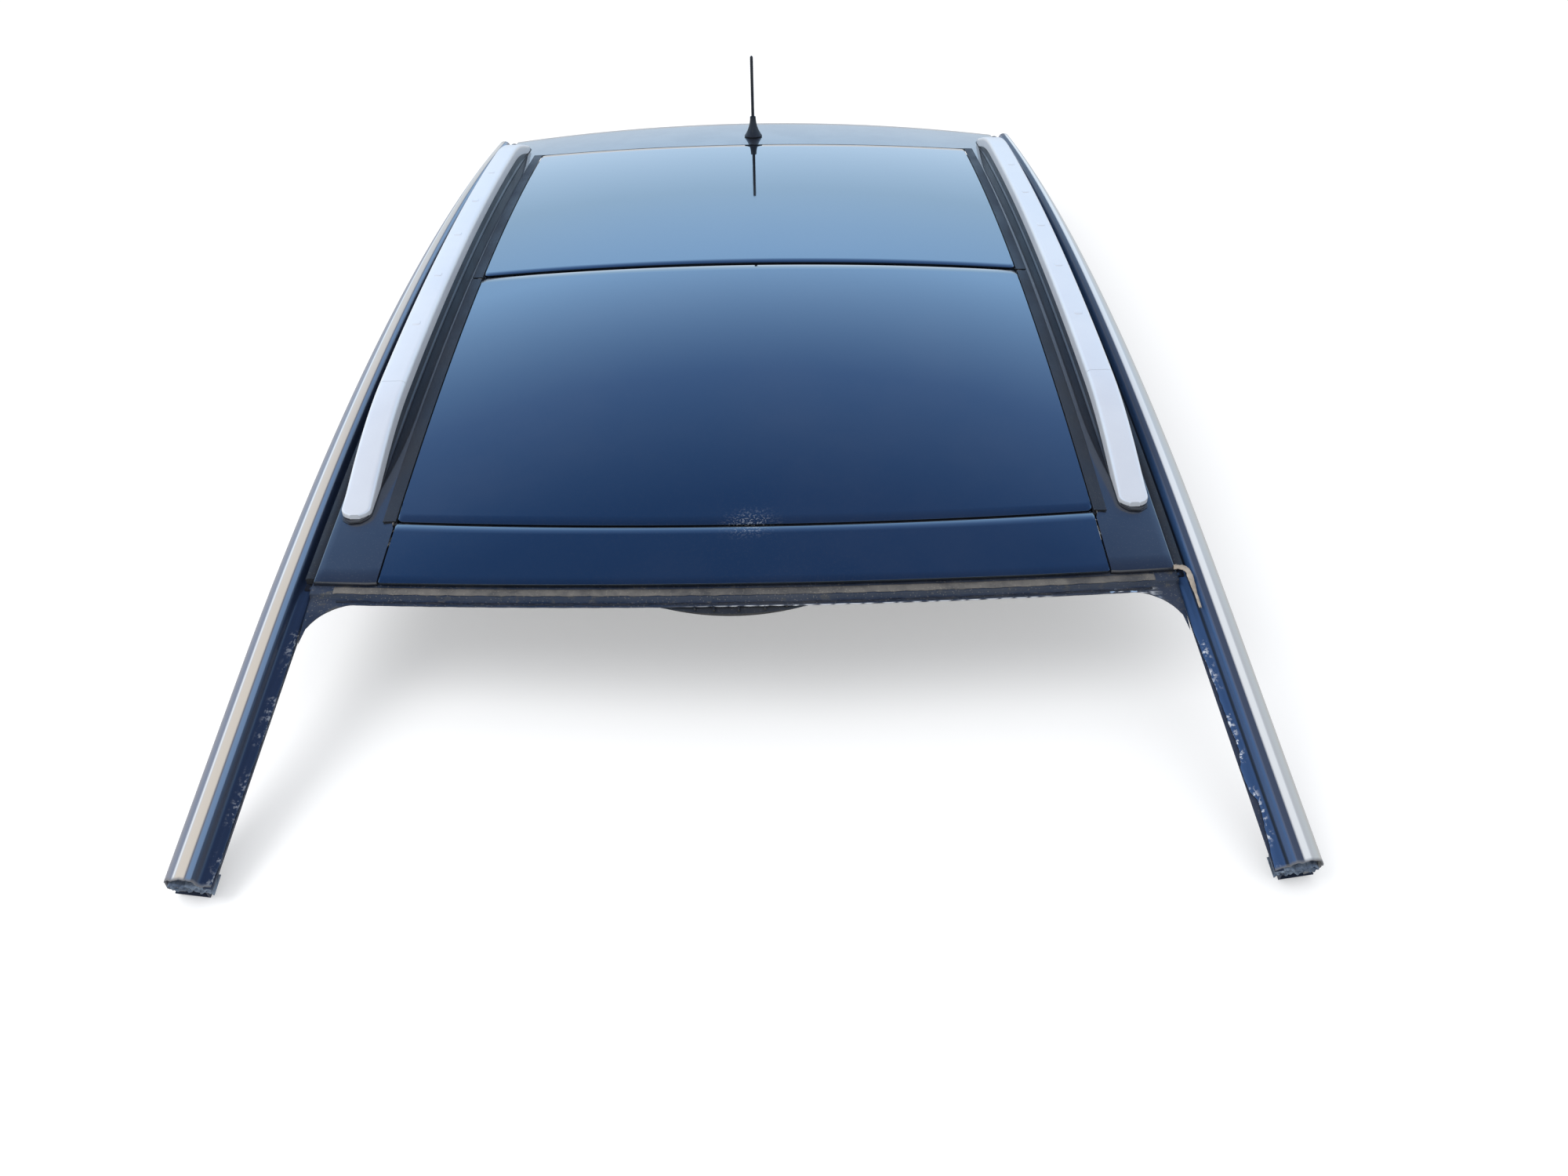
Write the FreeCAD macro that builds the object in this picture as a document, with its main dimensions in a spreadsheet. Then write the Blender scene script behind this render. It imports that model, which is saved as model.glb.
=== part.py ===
import FreeCAD, Part
import math
import os
import Sketcher

# Cut-off car roof with a two-panel glass sunroof.
# +Y points to the car's rear, +Z up, +X to the right of someone who looks rearward.
# The origin is on the floor, at the middle of the part's length and width.

V = FreeCAD.Vector
doc = FreeCAD.newDocument("sunroof_assembly")
sheet = doc.addObject("Spreadsheet::Sheet", "Sizes")

# Driving dimensions in millimetres, or degrees where the name says so.
SIZES = {
    # doubly curved roof surface
    "along_radius": 7270,
    "across_radius": 5500,
    "apex_y": 152,
    "apex_z": 256.6,
    # sheet metal and general clearances
    "steel": 1.6,
    "seat_gap": 0.3,
    "channel_lip": 12,
    "channel_slope": 8,
    "running_gap": 0.6,
    # roof panel
    "panel_half_width": 559,
    "panel_front_y": -746,
    "panel_front_bow": 49,
    "rear_panel_depth": 236,
    "panel_rear_bow": 36,
    "aperture_gap": 3,
    "aperture_flange_depth": 20,
    "aperture_rear_gap": 8,
    "ditch_width": 14,
    "ditch_depth": 12,
    # glass panels
    "side_panel_width": 89,
    "glass_thickness": 4,
    "front_strip_length": 112,
    "glass_front_bow": 43,
    "sliding_glass_length": 744,
    "seam_bow": 5,
    "seam_gap": 12,
    "rear_glass_length": 724,
    "rear_glass_bow": 14,
    "strip_gap": 6,
    "strip_bond_inset": 10,
    "strip_bond_width": 12,
    "strip_side_gap": 2.5,
    "bevel_length": 22,
    "bevel_depth": 2.5,
    # trims and seals
    "trim_gap": 4.5,
    "trim_lead": 4,
    "trim_end_gap": 3,
    "trim_width": 14.5,
    "trim_height": 2,
    "seal_drop": 2,
    "seal_height": 6,
    "front_seal_clearance": 1.6,
    "cross_seal_drop": 4.9,
    "cross_seal_height": 7,
    # windscreen header
    "header_step_drop": 7,
    "header_step_reach": 18,
    "header_step_back": 52,
    "flange_drop": 14,
    "flange_reach": 39,
    "header_overhang": 7,
    "header_end_gap": 4,
    "corner_radius": 62,
    "corner_foot_outset": 6,
    "corner_lift": 3.4,
    "corner_lap": 6,
    "bead_width": 8,
    "bead_inset": 6,
    "bead_end_gap": 40,
    "bead_height": 2,
    "inner_header_width": 36,
    "inner_header_depth": 26,
    "mirror_bracket_half_width": 93,
    "mirror_bracket_x": -12,
    "mirror_bracket_reach": 16,
    "mirror_bracket_height": 9,
    # windscreen pillars and cant rails
    "cant_gap": 2,
    "cant_drop": 15,
    "pillar_slope_degrees": 20.8,
    "pillar_splay_degrees": 6.9,
    "pillar_bend_setback": 78,
    "pillar_bend_radius": 620,
    "pillar_end_y": -1079.5,
    "cant_rear_inset": 22,
    "flange_width": 15,
    "wall_rise": 16,
    "crest_width": 44,
    "side_drop": 40,
    # rear pillar stubs
    "rear_pillar_inset": 120,
    "rear_pillar_length": 86,
    "rear_pillar_depth": 34,
    "rear_pillar_outset": 5,
    "rear_header_width": 56,
    "rear_header_depth": 24,
    "hinge_pad_inset": 139,
    "hinge_pad_height": 7.5,
    "hinge_pad_rim": 14,
    "hinge_pad_pitch": 46,
    "hinge_bolt_diameter": 8.5,
    # roof rails
    "rail_inset": 30,
    "rail_width": 40,
    "rail_height": 45,
    "rail_bar_depth": 21,
    "rail_front_setback": 164,
    "rail_foot_length": 273,
    "rail_seam": 0.8,
    "rail_rear_inset": 144,
    "rail_foot_tip": 7,
    "rail_rear_fall": 190,
    "pad_edge": 3,
    "pad_nose": 5,
    "plug_size": 13,
    "plug_pitch": 178,
    "plug_lead": 179,
    "plug_proud": 0.6,
    "plug_count": 5,
    "plug_depth": 4,
    # sunroof frame and guide rails
    "guide_outset": 8,
    "guide_width": 42,
    "guide_top": -9,
    "guide_bottom": -36,
    "guide_wall": 3,
    "guide_top_flange": 13,
    "guide_lip": 9,
    "guide_front_setback": 34,
    "guide_rear_reach": 4,
    "shade_leg_inset": 9,
    "shade_foot_width": 20,
    "shade_leg_drop": 14,
    "front_frame_lead": 18,
    "front_frame_width": 50,
    "front_frame_web": 14,
    "cross_beam_width": 60,
    "cross_beam_depth": 20,
    "rear_beam_width": 46,
    # slide and lift mechanism
    "pivot_setback": 59,
    "pivot_drop": 15,
    "pin_radius": 3,
    "pin_clearance": 0.05,
    "shoe_gap": 5.5,
    "lane_width": 4.5,
    "lane_gap": 0.7,
    "lever_reach": 262,
    "shoe_length": 46,
    "shoe_waist": 22,
    "pad_bond": 1.2,
    # wind deflector
    "deflector_setback": 13,
    "deflector_bar_width": 11,
    "deflector_drop": 10,
    "deflector_bar_height": 6,
    "deflector_arm_gap": 18,
    "deflector_arm_width": 5,
    "deflector_arm_length": 254,
    "deflector_pivot_drop": 22,
    # shade
    "shade_drop": 41,
    "shade_cloth": 1.5,
    "shade_side_gap": 2,
    "pull_bar_setback": 30,
    "pull_bar_width": 26,
    "roller_inset": 46,
    "roller_radius": 13,
    "roller_setback": 2,
    "roller_bracket_half": 18,
    "roller_bracket_width": 4,
    # drive
    "motor_drop": 49,
    "motor_length": 110,
    "motor_width": 46,
    "motor_height": 30,
    "motor_boss_x": 13,
    "motor_boss_width": 9,
    "pinion_radius": 8.5,
    "pinion_height": 11,
    "cable_radius": 2.6,
    # antenna
    "antenna_inset": 152,
    "antenna_base_radius": 20,
    "antenna_base_height": 44,
    "antenna_neck_radius": 6.5,
    "mast_radius": 3.4,
    "mast_length": 128,
    "antenna_nut_radius": 10.8,
    "antenna_nut_height": 14,
    # drains and fasteners
    "spout_radius": 5,
    "spout_length": 26,
    "spout_collar": 3.5,
    "collar_radius": 9,
    "spout_inset": 14,
    "screw_radius": 4,
    "torn_strip_length": 64,
    "torn_strip_width": 7,
    "screw_count": 5,
    "screw_pitch": 310,
    "screw_lead": 120,
    "screw_drop": 15,
}
for row, (alias, value) in enumerate(SIZES.items(), start=1):
    sheet.set(f"A{row}", alias)
    sheet.set(f"B{row}", str(value))
    sheet.setAlias(f"B{row}", alias)
doc.recompute()


class Size:
    """A length that keeps both its number and its spreadsheet formula."""

    def __init__(self, number, formula):
        self.number = number
        self.formula = formula

    @staticmethod
    def of(item):
        return item if isinstance(item, Size) else Size(float(item), f"{float(item):g}")

    def __add__(self, other):
        other = Size.of(other)
        return Size(self.number + other.number, f"({self.formula} + {other.formula})")

    def __sub__(self, other):
        other = Size.of(other)
        return Size(self.number - other.number, f"({self.formula} - {other.formula})")

    def __mul__(self, other):
        other = Size.of(other)
        return Size(self.number * other.number, f"({self.formula} * {other.formula})")

    def __truediv__(self, other):
        other = Size.of(other)
        return Size(self.number / other.number, f"({self.formula} / {other.formula})")

    def __radd__(self, other):
        return Size.of(other) + self

    def __rsub__(self, other):
        return Size.of(other) - self

    def __rmul__(self, other):
        return Size.of(other) * self

    def __rtruediv__(self, other):
        return Size.of(other) / self

    def __neg__(self):
        return Size(-self.number, f"(-1 * {self.formula})")


def size(alias):
    return Size(float(sheet.get(alias)), f"Sizes.{alias}")


def root(item):
    return Size(math.sqrt(item.number), f"sqrt({item.formula})")


def arc_degrees(item):
    return Size(math.degrees(math.asin(item.number)), f"(asin({item.formula}) / 1 deg)")


def bind(item, prop, length):
    item.setExpression(prop, Size.of(length).formula)


ALONG = size("along_radius")
ACROSS = size("across_radius")
APEX_Y = size("apex_y")
APEX_Z = size("apex_z")
STEEL = size("steel")
SEAT = size("seat_gap")
RUN = size("running_gap")
LIP = size("channel_lip")
LEAN = size("channel_slope")


def crown(x):
    """Drop of the roof surface at x from its middle line."""
    return root(ACROSS * ACROSS - x * x) - ACROSS


def roof_z(y):
    """Height of the roof surface on its middle line at y."""
    return root(ALONG * ALONG - (y - APEX_Y) * (y - APEX_Y)) - ALONG + APEX_Z


def station(y):
    """Angle of y along the roof's long curve, in degrees."""
    return arc_degrees((y - APEX_Y) / ALONG)


def bow_radius(half_width, bow):
    return (half_width * half_width + bow * bow) / (2 * bow)


def bow_y(middle_y, half_width, bow, x):
    """Where an edge that bows about the car's middle line lies at x."""
    radius = bow_radius(half_width, bow)
    return middle_y + radius - root(radius * radius - x * x)


def place(item, x=0, y=0, z=0):
    for axis, value in zip("xyz", (x, y, z)):
        if isinstance(value, Size) or value:
            bind(item, f"Placement.Base.{axis}", value)


def sketch(name, corners, arcs=None, holes=None):
    """Closed outline through corners of Size pairs; arcs gives an edge its radius and its side."""
    drawing = doc.addObject("Sketcher::SketchObject", name)
    for loop, curved in [(corners, arcs or {})] + [(hole, {}) for hole in holes or []]:
        first = drawing.GeometryCount
        flat = [(Size.of(a), Size.of(b)) for a, b in loop]
        spots = [V(a.number, b.number, 0) for a, b in flat]
        count = len(flat)
        for i in range(count):
            start, end = spots[i], spots[(i + 1) % count]
            if i in curved:
                radius, side = curved[i]
                half = (end - start).Length / 2
                rise = radius.number - math.sqrt(max(radius.number ** 2 - half ** 2, 0))
                normal = V(-(end - start).y, (end - start).x, 0).normalize()
                middle = (start + end) / 2 + normal * rise * side
                drawing.addGeometry(Part.Arc(start, middle, end))
            else:
                drawing.addGeometry(Part.LineSegment(start, end))
        for i in range(count):
            following = first + (i + 1) % count
            ends = (2, 1)
            if i in curved and curved[i][1] > 0:
                ends = (1, ends[1])
            nxt = (i + 1) % count
            if nxt in curved and curved[nxt][1] > 0:
                ends = (ends[0], 2)
            drawing.addConstraint(Sketcher.Constraint("Coincident", first + i, ends[0], following, ends[1]))
        for i in range(count):
            point = 2 if i in curved and curved[i][1] > 0 else 1
            for kind, value in (("DistanceX", flat[i][0]), ("DistanceY", flat[i][1])):
                index = drawing.addConstraint(
                    Sketcher.Constraint(kind, -1, 1, first + i, point, value.number)
                )
                drawing.setExpression(f"Constraints[{index}]", value.formula)
            if i in curved:
                index = drawing.addConstraint(Sketcher.Constraint("Radius", first + i, curved[i][0].number))
                drawing.setExpression(f"Constraints[{index}]", curved[i][0].formula)
    return drawing


def combine(kind, name, *items):
    """Boolean of items: Fuse takes any number, Cut and Common take two."""
    if kind == "MultiFuse":
        result = doc.addObject("Part::MultiFuse", name)
        result.Shapes = list(items)
    else:
        result = doc.addObject(f"Part::{kind}", name)
        result.Base, result.Tool = items
    return result


def along_roof(name, corners, front_y, rear_y, arcs=None):
    """Section of (x, height over the middle line) carried along the roof's long curve."""
    lifted = [(x, ALONG + height) for x, height in corners]
    section = sketch(f"{name}_section", lifted, arcs)
    section.Placement.Rotation = FreeCAD.Rotation(V(1, 0, 0), 90)
    place(section, 0, APEX_Y, APEX_Z - ALONG)
    section.setExpression("Placement.Rotation.Angle", f"(90 - {station(front_y).formula}) * 1 deg")
    turned = doc.addObject("Part::Revolution", f"{name}_turned")
    turned.Source = section
    turned.Axis = (-1, 0, 0)
    bind(turned, "Base.y", APEX_Y)
    bind(turned, "Base.z", APEX_Z - ALONG)
    bind(turned, "Angle", station(rear_y) - station(front_y))
    turned.Solid = True
    return turned


def strip_along(name, x_in, x_out, top, thickness, front_y, rear_y):
    """Flat-topped strip that follows the roof between two x values."""
    corners = [
        (x_in, crown(x_in) + top),
        (x_out, crown(x_out) + top),
        (x_out, crown(x_out) + top - thickness),
        (x_in, crown(x_in) + top - thickness),
    ]
    return along_roof(name, corners, front_y, rear_y)


def across_roof(name, corners, half_width, at_y):
    """Section of (y, height over the roof surface) carried along the roof's curve across."""
    lifted = [(y, roof_z(Size.of(y)) + height) for y, height in corners]
    section = sketch(f"{name}_section", lifted)
    section.Placement.Rotation = FreeCAD.Rotation(V(1, 1, 1), 120)
    turned = doc.addObject("Part::Revolution", f"{name}_turned")
    turned.Source = section
    turned.Axis = (0, 1, 0)
    bind(turned, "Base.z", roof_z(at_y) - ACROSS)
    bind(turned, "Angle", 2 * arc_degrees(half_width / ACROSS))
    turned.Symmetric = True
    turned.Solid = True
    return turned


def slab(name, top, thickness, half_width, front_y, rear_y):
    """Doubly curved sheet at a height over the roof surface."""
    middle = ALONG - ACROSS
    upper = ACROSS + top
    lower = ACROSS + top - thickness
    high = middle + root(upper * upper - half_width * half_width)
    low = middle + root(lower * lower - half_width * half_width)
    corners = [
        (-half_width, high - ALONG),
        (half_width, high - ALONG),
        (half_width, low - ALONG),
        (-half_width, low - ALONG),
    ]
    return along_roof(name, corners, front_y, rear_y, arcs={0: (upper, 1), 2: (lower, -1)})


def column(name, corners, arcs=None, holes=None):
    """Plan outline carried straight up through the whole height of the roof."""
    outline = sketch(f"{name}_outline", corners, arcs, holes)
    block = doc.addObject("Part::Extrusion", f"{name}_column")
    block.Base = outline
    block.DirMode = "Custom"
    block.Dir = V(0, 0, 1)
    bind(block, "LengthFwd", APEX_Z * 2)
    block.Solid = True
    return block


def plan_sheet(name, top, thickness, corners, arcs=None, holes=None, reach=None):
    """Doubly curved sheet cut to a plan outline."""
    front, rear, half = reach
    return combine(
        "Common",
        f"{name}_cut",
        slab(name, top, thickness, half + 5, front - 40, rear + 40),
        column(name, corners, arcs, holes),
    )


def bowed(half, front, front_bow, rear, rear_bow):
    """Corners and arcs of a panel whose front edge and rear edge bow about the middle line."""
    front_corner = front + front_bow
    rear_corner = rear + rear_bow
    corners = [(-half, front_corner), (half, front_corner), (half, rear_corner), (-half, rear_corner)]
    arcs = {0: (bow_radius(half, front_bow), -1), 2: (bow_radius(half, rear_bow), 1)}
    return corners, arcs


def box(name, x, y, z, length, width, height):
    block = doc.addObject("Part::Box", name)
    for prop, value in (("Length", length), ("Width", width), ("Height", height)):
        bind(block, prop, value)
    place(block, x, y, z)
    return block


def rod(name, x, y, z, radius, length, direction):
    """Round bar from a point along X, Y or Z."""
    bar = doc.addObject("Part::Cylinder", name)
    turns = {"X": FreeCAD.Rotation(V(0, 1, 0), 90), "Y": FreeCAD.Rotation(V(1, 0, 0), -90)}
    if direction in turns:
        bar.Placement.Rotation = turns[direction]
    bind(bar, "Radius", radius)
    bind(bar, "Height", length)
    place(bar, x, y, z)
    return bar


def prism(name, sides, x, y, z, radius, length, direction):
    """Bar of a regular many-sided section along X or Z."""
    bar = doc.addObject("Part::Prism", name)
    if direction == "X":
        bar.Placement.Rotation = FreeCAD.Rotation(V(0, 1, 0), 90)
    bar.Polygon = sides
    bind(bar, "Circumradius", radius)
    bind(bar, "Height", length)
    place(bar, x, y, z)
    return bar


def side_plate(name, corners, x, width, arcs=None):
    """Outline of (y, z) carried along X from x."""
    outline = sketch(f"{name}_outline", corners, arcs)
    outline.Placement.Rotation = FreeCAD.Rotation(V(1, 1, 1), 120)
    place(outline, x)
    plate = doc.addObject("Part::Extrusion", f"{name}_plate")
    plate.Base = outline
    plate.DirMode = "Custom"
    plate.Dir = V(1, 0, 0)
    bind(plate, "LengthFwd", width)
    plate.Solid = True
    return plate


def mirror(name, source):
    """The same piece on the other side of the car."""
    twin = doc.addObject("Part::Mirroring", name)
    twin.Source = source
    twin.Normal = (1, 0, 0)
    twin.Base = (0, 0, 0)
    return twin


NODES = {}


def node(label, item):
    item.Label = label
    NODES[label] = item
    return item


def both_sides(label, item):
    """Registers a right-hand piece and its mirrored left-hand twin."""
    node(f"{label}_right", item)
    node(f"{label}_left", mirror(f"{label}_twin", item))


def pair(label, item, *others):
    """Registers a right-hand piece and its twin as one group of separate solids."""
    node(label, combine("MultiFuse", label, item, mirror(f"{label}_twin", item), *others))


def sheet_loop(points):
    """Closed loop of a bent sheet from its outer corners and the way its thickness goes at each."""
    outer = [(Size.of(a), Size.of(b)) for a, b, _, _ in points]
    inner = [(Size.of(a) + STEEL * u, Size.of(b) + STEEL * w) for a, b, u, w in points]
    return outer + inner[::-1]


# Roof panel: painted skin with the open-fronted glass aperture, side ditches and rear panel.
HALF = size("panel_half_width")
PANEL_FRONT = size("panel_front_y")
PANEL_BOW = size("panel_front_bow")
GLASS = HALF - size("side_panel_width")
GLASS_T = size("glass_thickness")
GLASS_FRONT = PANEL_FRONT + size("front_strip_length")
GLASS_BOW = size("glass_front_bow")
SEAM = GLASS_FRONT + size("sliding_glass_length")
SEAM_BOW = size("seam_bow")
SEAM_GAP = size("seam_gap")
REAR_END = SEAM + SEAM_GAP + size("rear_glass_length")
PANEL_REAR = REAR_END + size("rear_panel_depth")
REAR_BOW = size("rear_glass_bow")
GUIDE_OUT = GLASS + size("guide_outset")
APERTURE = GUIDE_OUT + size("aperture_gap")
SIDE_FRONT = GLASS + size("strip_side_gap")
corner_y = PANEL_FRONT + PANEL_BOW
side_front_y = bow_y(PANEL_FRONT, HALF, PANEL_BOW, SIDE_FRONT)
trim_front_y = GLASS_FRONT + GLASS_BOW - size("trim_lead")
aperture_end = REAR_END + REAR_BOW + size("aperture_rear_gap")
rear_corner_y = PANEL_REAR - size("panel_rear_bow")
front_radius = bow_radius(HALF, PANEL_BOW)
skin_corners = [
    (-HALF, corner_y),
    (-SIDE_FRONT, side_front_y),
    (-SIDE_FRONT, trim_front_y),
    (-APERTURE, trim_front_y),
    (-APERTURE, aperture_end),
    (APERTURE, aperture_end),
    (APERTURE, trim_front_y),
    (SIDE_FRONT, trim_front_y),
    (SIDE_FRONT, side_front_y),
    (HALF, corner_y),
    (HALF, rear_corner_y),
    (-HALF, rear_corner_y),
]
rear_radius = bow_radius(HALF, size("panel_rear_bow"))
skin_arcs = {0: (front_radius, -1), 8: (front_radius, -1), 10: (rear_radius, -1)}
skin_reach = (PANEL_FRONT, PANEL_REAR, HALF)
skin = plan_sheet("roof_skin", Size.of(0), STEEL, skin_corners, skin_arcs, None, skin_reach)
ditch = size("ditch_depth")
wall_top = crown(HALF) - STEEL / 2
ditch_corners = [
    (HALF - STEEL, wall_top),
    (HALF, wall_top),
    (HALF, crown(HALF) - ditch),
    (HALF + size("ditch_width"), crown(HALF) - ditch),
    (HALF + size("ditch_width"), crown(HALF) - ditch - STEEL),
    (HALF - STEEL, crown(HALF) - ditch - STEEL),
]
ditch_right = along_roof("ditch", ditch_corners, corner_y, rear_corner_y)
flange_corners = [
    (APERTURE, crown(APERTURE) - STEEL / 2),
    (APERTURE + STEEL, crown(APERTURE) - STEEL / 2),
    (APERTURE + STEEL, crown(APERTURE) - size("aperture_flange_depth")),
    (APERTURE, crown(APERTURE) - size("aperture_flange_depth")),
]
aperture_flange = along_roof("aperture_flange", flange_corners, trim_front_y, aperture_end)
rear_flange = across_roof(
    "rear_flange",
    [
        (aperture_end, -STEEL / 2),
        (aperture_end + STEEL, -STEEL / 2),
        (aperture_end + STEEL, -size("aperture_flange_depth")),
        (aperture_end, -size("aperture_flange_depth")),
    ],
    APERTURE,
    aperture_end,
)
node(
    "roof_skin",
    combine(
        "MultiFuse",
        "roof_skin",
        skin,
        ditch_right,
        mirror("ditch_twin", ditch_right),
        aperture_flange,
        mirror("aperture_flange_twin", aperture_flange),
        rear_flange,
    ),
)

# Glass: fixed front strip, sliding panel and fixed rear panel.
strip_rear = GLASS_FRONT - size("strip_gap")
strip_half_bow = bow_y(PANEL_FRONT, HALF, PANEL_BOW, GLASS) - PANEL_FRONT
corners, arcs = bowed(GLASS, PANEL_FRONT, strip_half_bow, strip_rear, GLASS_BOW)
strip_reach = (PANEL_FRONT, strip_rear, GLASS)
node("front_glass_strip", plan_sheet("front_glass_strip", Size.of(0), GLASS_T, corners, arcs, None, strip_reach))
corners, arcs = bowed(GLASS, GLASS_FRONT, GLASS_BOW, SEAM, SEAM_BOW)
sliding = plan_sheet("sliding_glass", Size.of(0), GLASS_T, corners, arcs, None, (GLASS_FRONT, SEAM, GLASS))
bevel_start = SEAM - size("bevel_length")
bevel = across_roof(
    "bevel",
    [
        (bevel_start, -GLASS_T),
        (SEAM + SEAM_BOW + 1, -GLASS_T + size("bevel_depth") * (1 + 6 / size("bevel_length"))),
        (SEAM + SEAM_BOW + 1, -GLASS_T - 3),
        (bevel_start, -GLASS_T - 3),
    ],
    GLASS + 4,
    SEAM,
)
node("sliding_glass", combine("Cut", "sliding_glass", sliding, bevel))
corners, arcs = bowed(GLASS, SEAM + SEAM_GAP, SEAM_BOW, REAR_END, REAR_BOW)
node(
    "rear_glass",
    plan_sheet("rear_glass", Size.of(0), GLASS_T, corners, arcs, None, (SEAM, REAR_END, GLASS)),
)

# Side trims beside the glass, split at the seam between the panels.
TRIM_X = GLASS + size("trim_gap")
trim_out = TRIM_X + size("trim_width")
trim_top = SEAT + size("trim_height")
trim_split = SEAM + SEAM_GAP / 2
trim_gap = size("trim_end_gap")
for label, trim_start, trim_stop in (
    ("front_trim", trim_front_y + SEAT * 3, trim_split - trim_gap),
    ("rear_trim", trim_split + trim_gap, aperture_end - trim_gap),
):
    both_sides(
        label,
        strip_along(label, TRIM_X, trim_out, trim_top, size("trim_height"), trim_start, trim_stop),
    )

# Weather seal round the front and sides of the sliding glass, and the cross seal under the seam.
seal_out = TRIM_X - SEAT
seal_in = GLASS + RUN
seal_front = strip_rear + SEAT
seal_back = GLASS_FRONT - size("front_seal_clearance")
glass_arc = bow_radius(GLASS, GLASS_BOW)
seal_outer_y = bow_y(seal_front, GLASS, GLASS_BOW, seal_out)
seal_inner_y = bow_y(seal_back, GLASS, GLASS_BOW, seal_in)
seal_corners = [
    (-seal_out, seal_outer_y),
    (seal_out, seal_outer_y),
    (seal_out, SEAM),
    (seal_in, SEAM),
    (seal_in, seal_inner_y),
    (-seal_in, seal_inner_y),
    (-seal_in, SEAM),
    (-seal_out, SEAM),
]
seal_arcs = {0: (glass_arc, -1), 4: (glass_arc, 1)}
node(
    "glass_seal",
    plan_sheet(
        "glass_seal",
        -size("seal_drop"),
        size("seal_height"),
        seal_corners,
        seal_arcs,
        None,
        (seal_front, SEAM, seal_out),
    ),
)
cross_top = -size("cross_seal_drop")
cross_low = cross_top - size("cross_seal_height")
node(
    "cross_seal",
    across_roof(
        "cross_seal",
        [
            (SEAM + 3, cross_top),
            (SEAM + SEAM_GAP + 1, cross_top),
            (SEAM + SEAM_GAP + 4, cross_low),
            (SEAM, cross_low),
        ],
        GLASS - 34,
        SEAM,
    ),
)


def band(name, front, rear, top, thickness, half):
    """Curved cross strip that follows the bow of the windscreen's upper edge."""
    bow = bow_y(PANEL_FRONT, HALF, PANEL_BOW, half) - PANEL_FRONT
    outline, curves = bowed(half, front, bow, rear, bow)
    return plan_sheet(name, top, thickness, outline, curves, None, (front, rear, half))


# Windscreen header: step under the glass strip, riser and bonding flange, with its inner channel.
HEADER = HALF + size("header_overhang")
step_top = -size("header_step_drop")
flange_top = -size("flange_drop")
step_front = PANEL_FRONT - size("header_step_reach")
flange_front = PANEL_FRONT - size("flange_reach")
step_half = HALF - size("header_end_gap")
step_back = PANEL_FRONT + size("header_step_back")
riser_height = size("flange_drop") - size("header_step_drop")
header_step = band("header_step", step_front, step_back, step_top, STEEL, step_half)
header_riser = band("header_riser", step_front, step_front + STEEL, step_top - STEEL / 2, riser_height, step_half)
header_flange = band("header_flange", flange_front, step_front + STEEL, flange_top, STEEL, HEADER)
node("windscreen_header", combine("MultiFuse", "windscreen_header", header_step, header_riser, header_flange))
node(
    "windscreen_bead",
    band(
        "windscreen_bead",
        flange_front + size("bead_inset"),
        flange_front + size("bead_inset") + size("bead_width"),
        flange_top + SEAT + size("bead_height"),
        size("bead_height"),
        HALF - size("bead_end_gap"),
    ),
)
inner_front = PANEL_FRONT + PANEL_BOW + 4
inner_rear = inner_front + size("inner_header_width")
inner_top = step_top - STEEL - SEAT
inner_low = inner_top - size("inner_header_depth")
node(
    "header_inner",
    across_roof(
        "header_inner",
        sheet_loop(
            [
                (inner_front - LIP, inner_top, 0, -1),
                (inner_front, inner_top, -1, -1),
                (inner_front + LEAN, inner_low, -1, -1),
                (inner_rear - LEAN, inner_low, 1, -1),
                (inner_rear, inner_top, 1, -1),
                (inner_rear + LIP, inner_top, 0, -1),
            ]
        ),
        HALF - 30,
        inner_front,
    ),
)
mirror_x = size("mirror_bracket_x")
mirror_half = size("mirror_bracket_half_width")
mirror_edge = flange_front + 8
mirror_reach = size("mirror_bracket_reach") + 8
mirror_plan = [(mirror_x - mirror_half, mirror_edge), (mirror_x + mirror_half, mirror_edge)]
mirror_plan += [(mirror_x + mirror_half, mirror_edge + 16), (mirror_x - mirror_half, mirror_edge + 16)]
node(
    "mirror_bracket",
    plan_sheet(
        "mirror_bracket",
        flange_top - STEEL - SEAT,
        size("mirror_bracket_height"),
        mirror_plan,
        {0: (bow_radius(mirror_half, mirror_reach), -1)},
        None,
        (mirror_edge - mirror_reach, mirror_edge + 16, mirror_half - mirror_x),
    ),
)

# Windscreen pillar with cant rail: one stamped side skin and its inner closing channel.
bend_y = PANEL_FRONT + size("pillar_bend_setback")
cant_x = HALF + size("cant_gap")
cant_rear = PANEL_REAR - size("cant_rear_inset")


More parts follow.
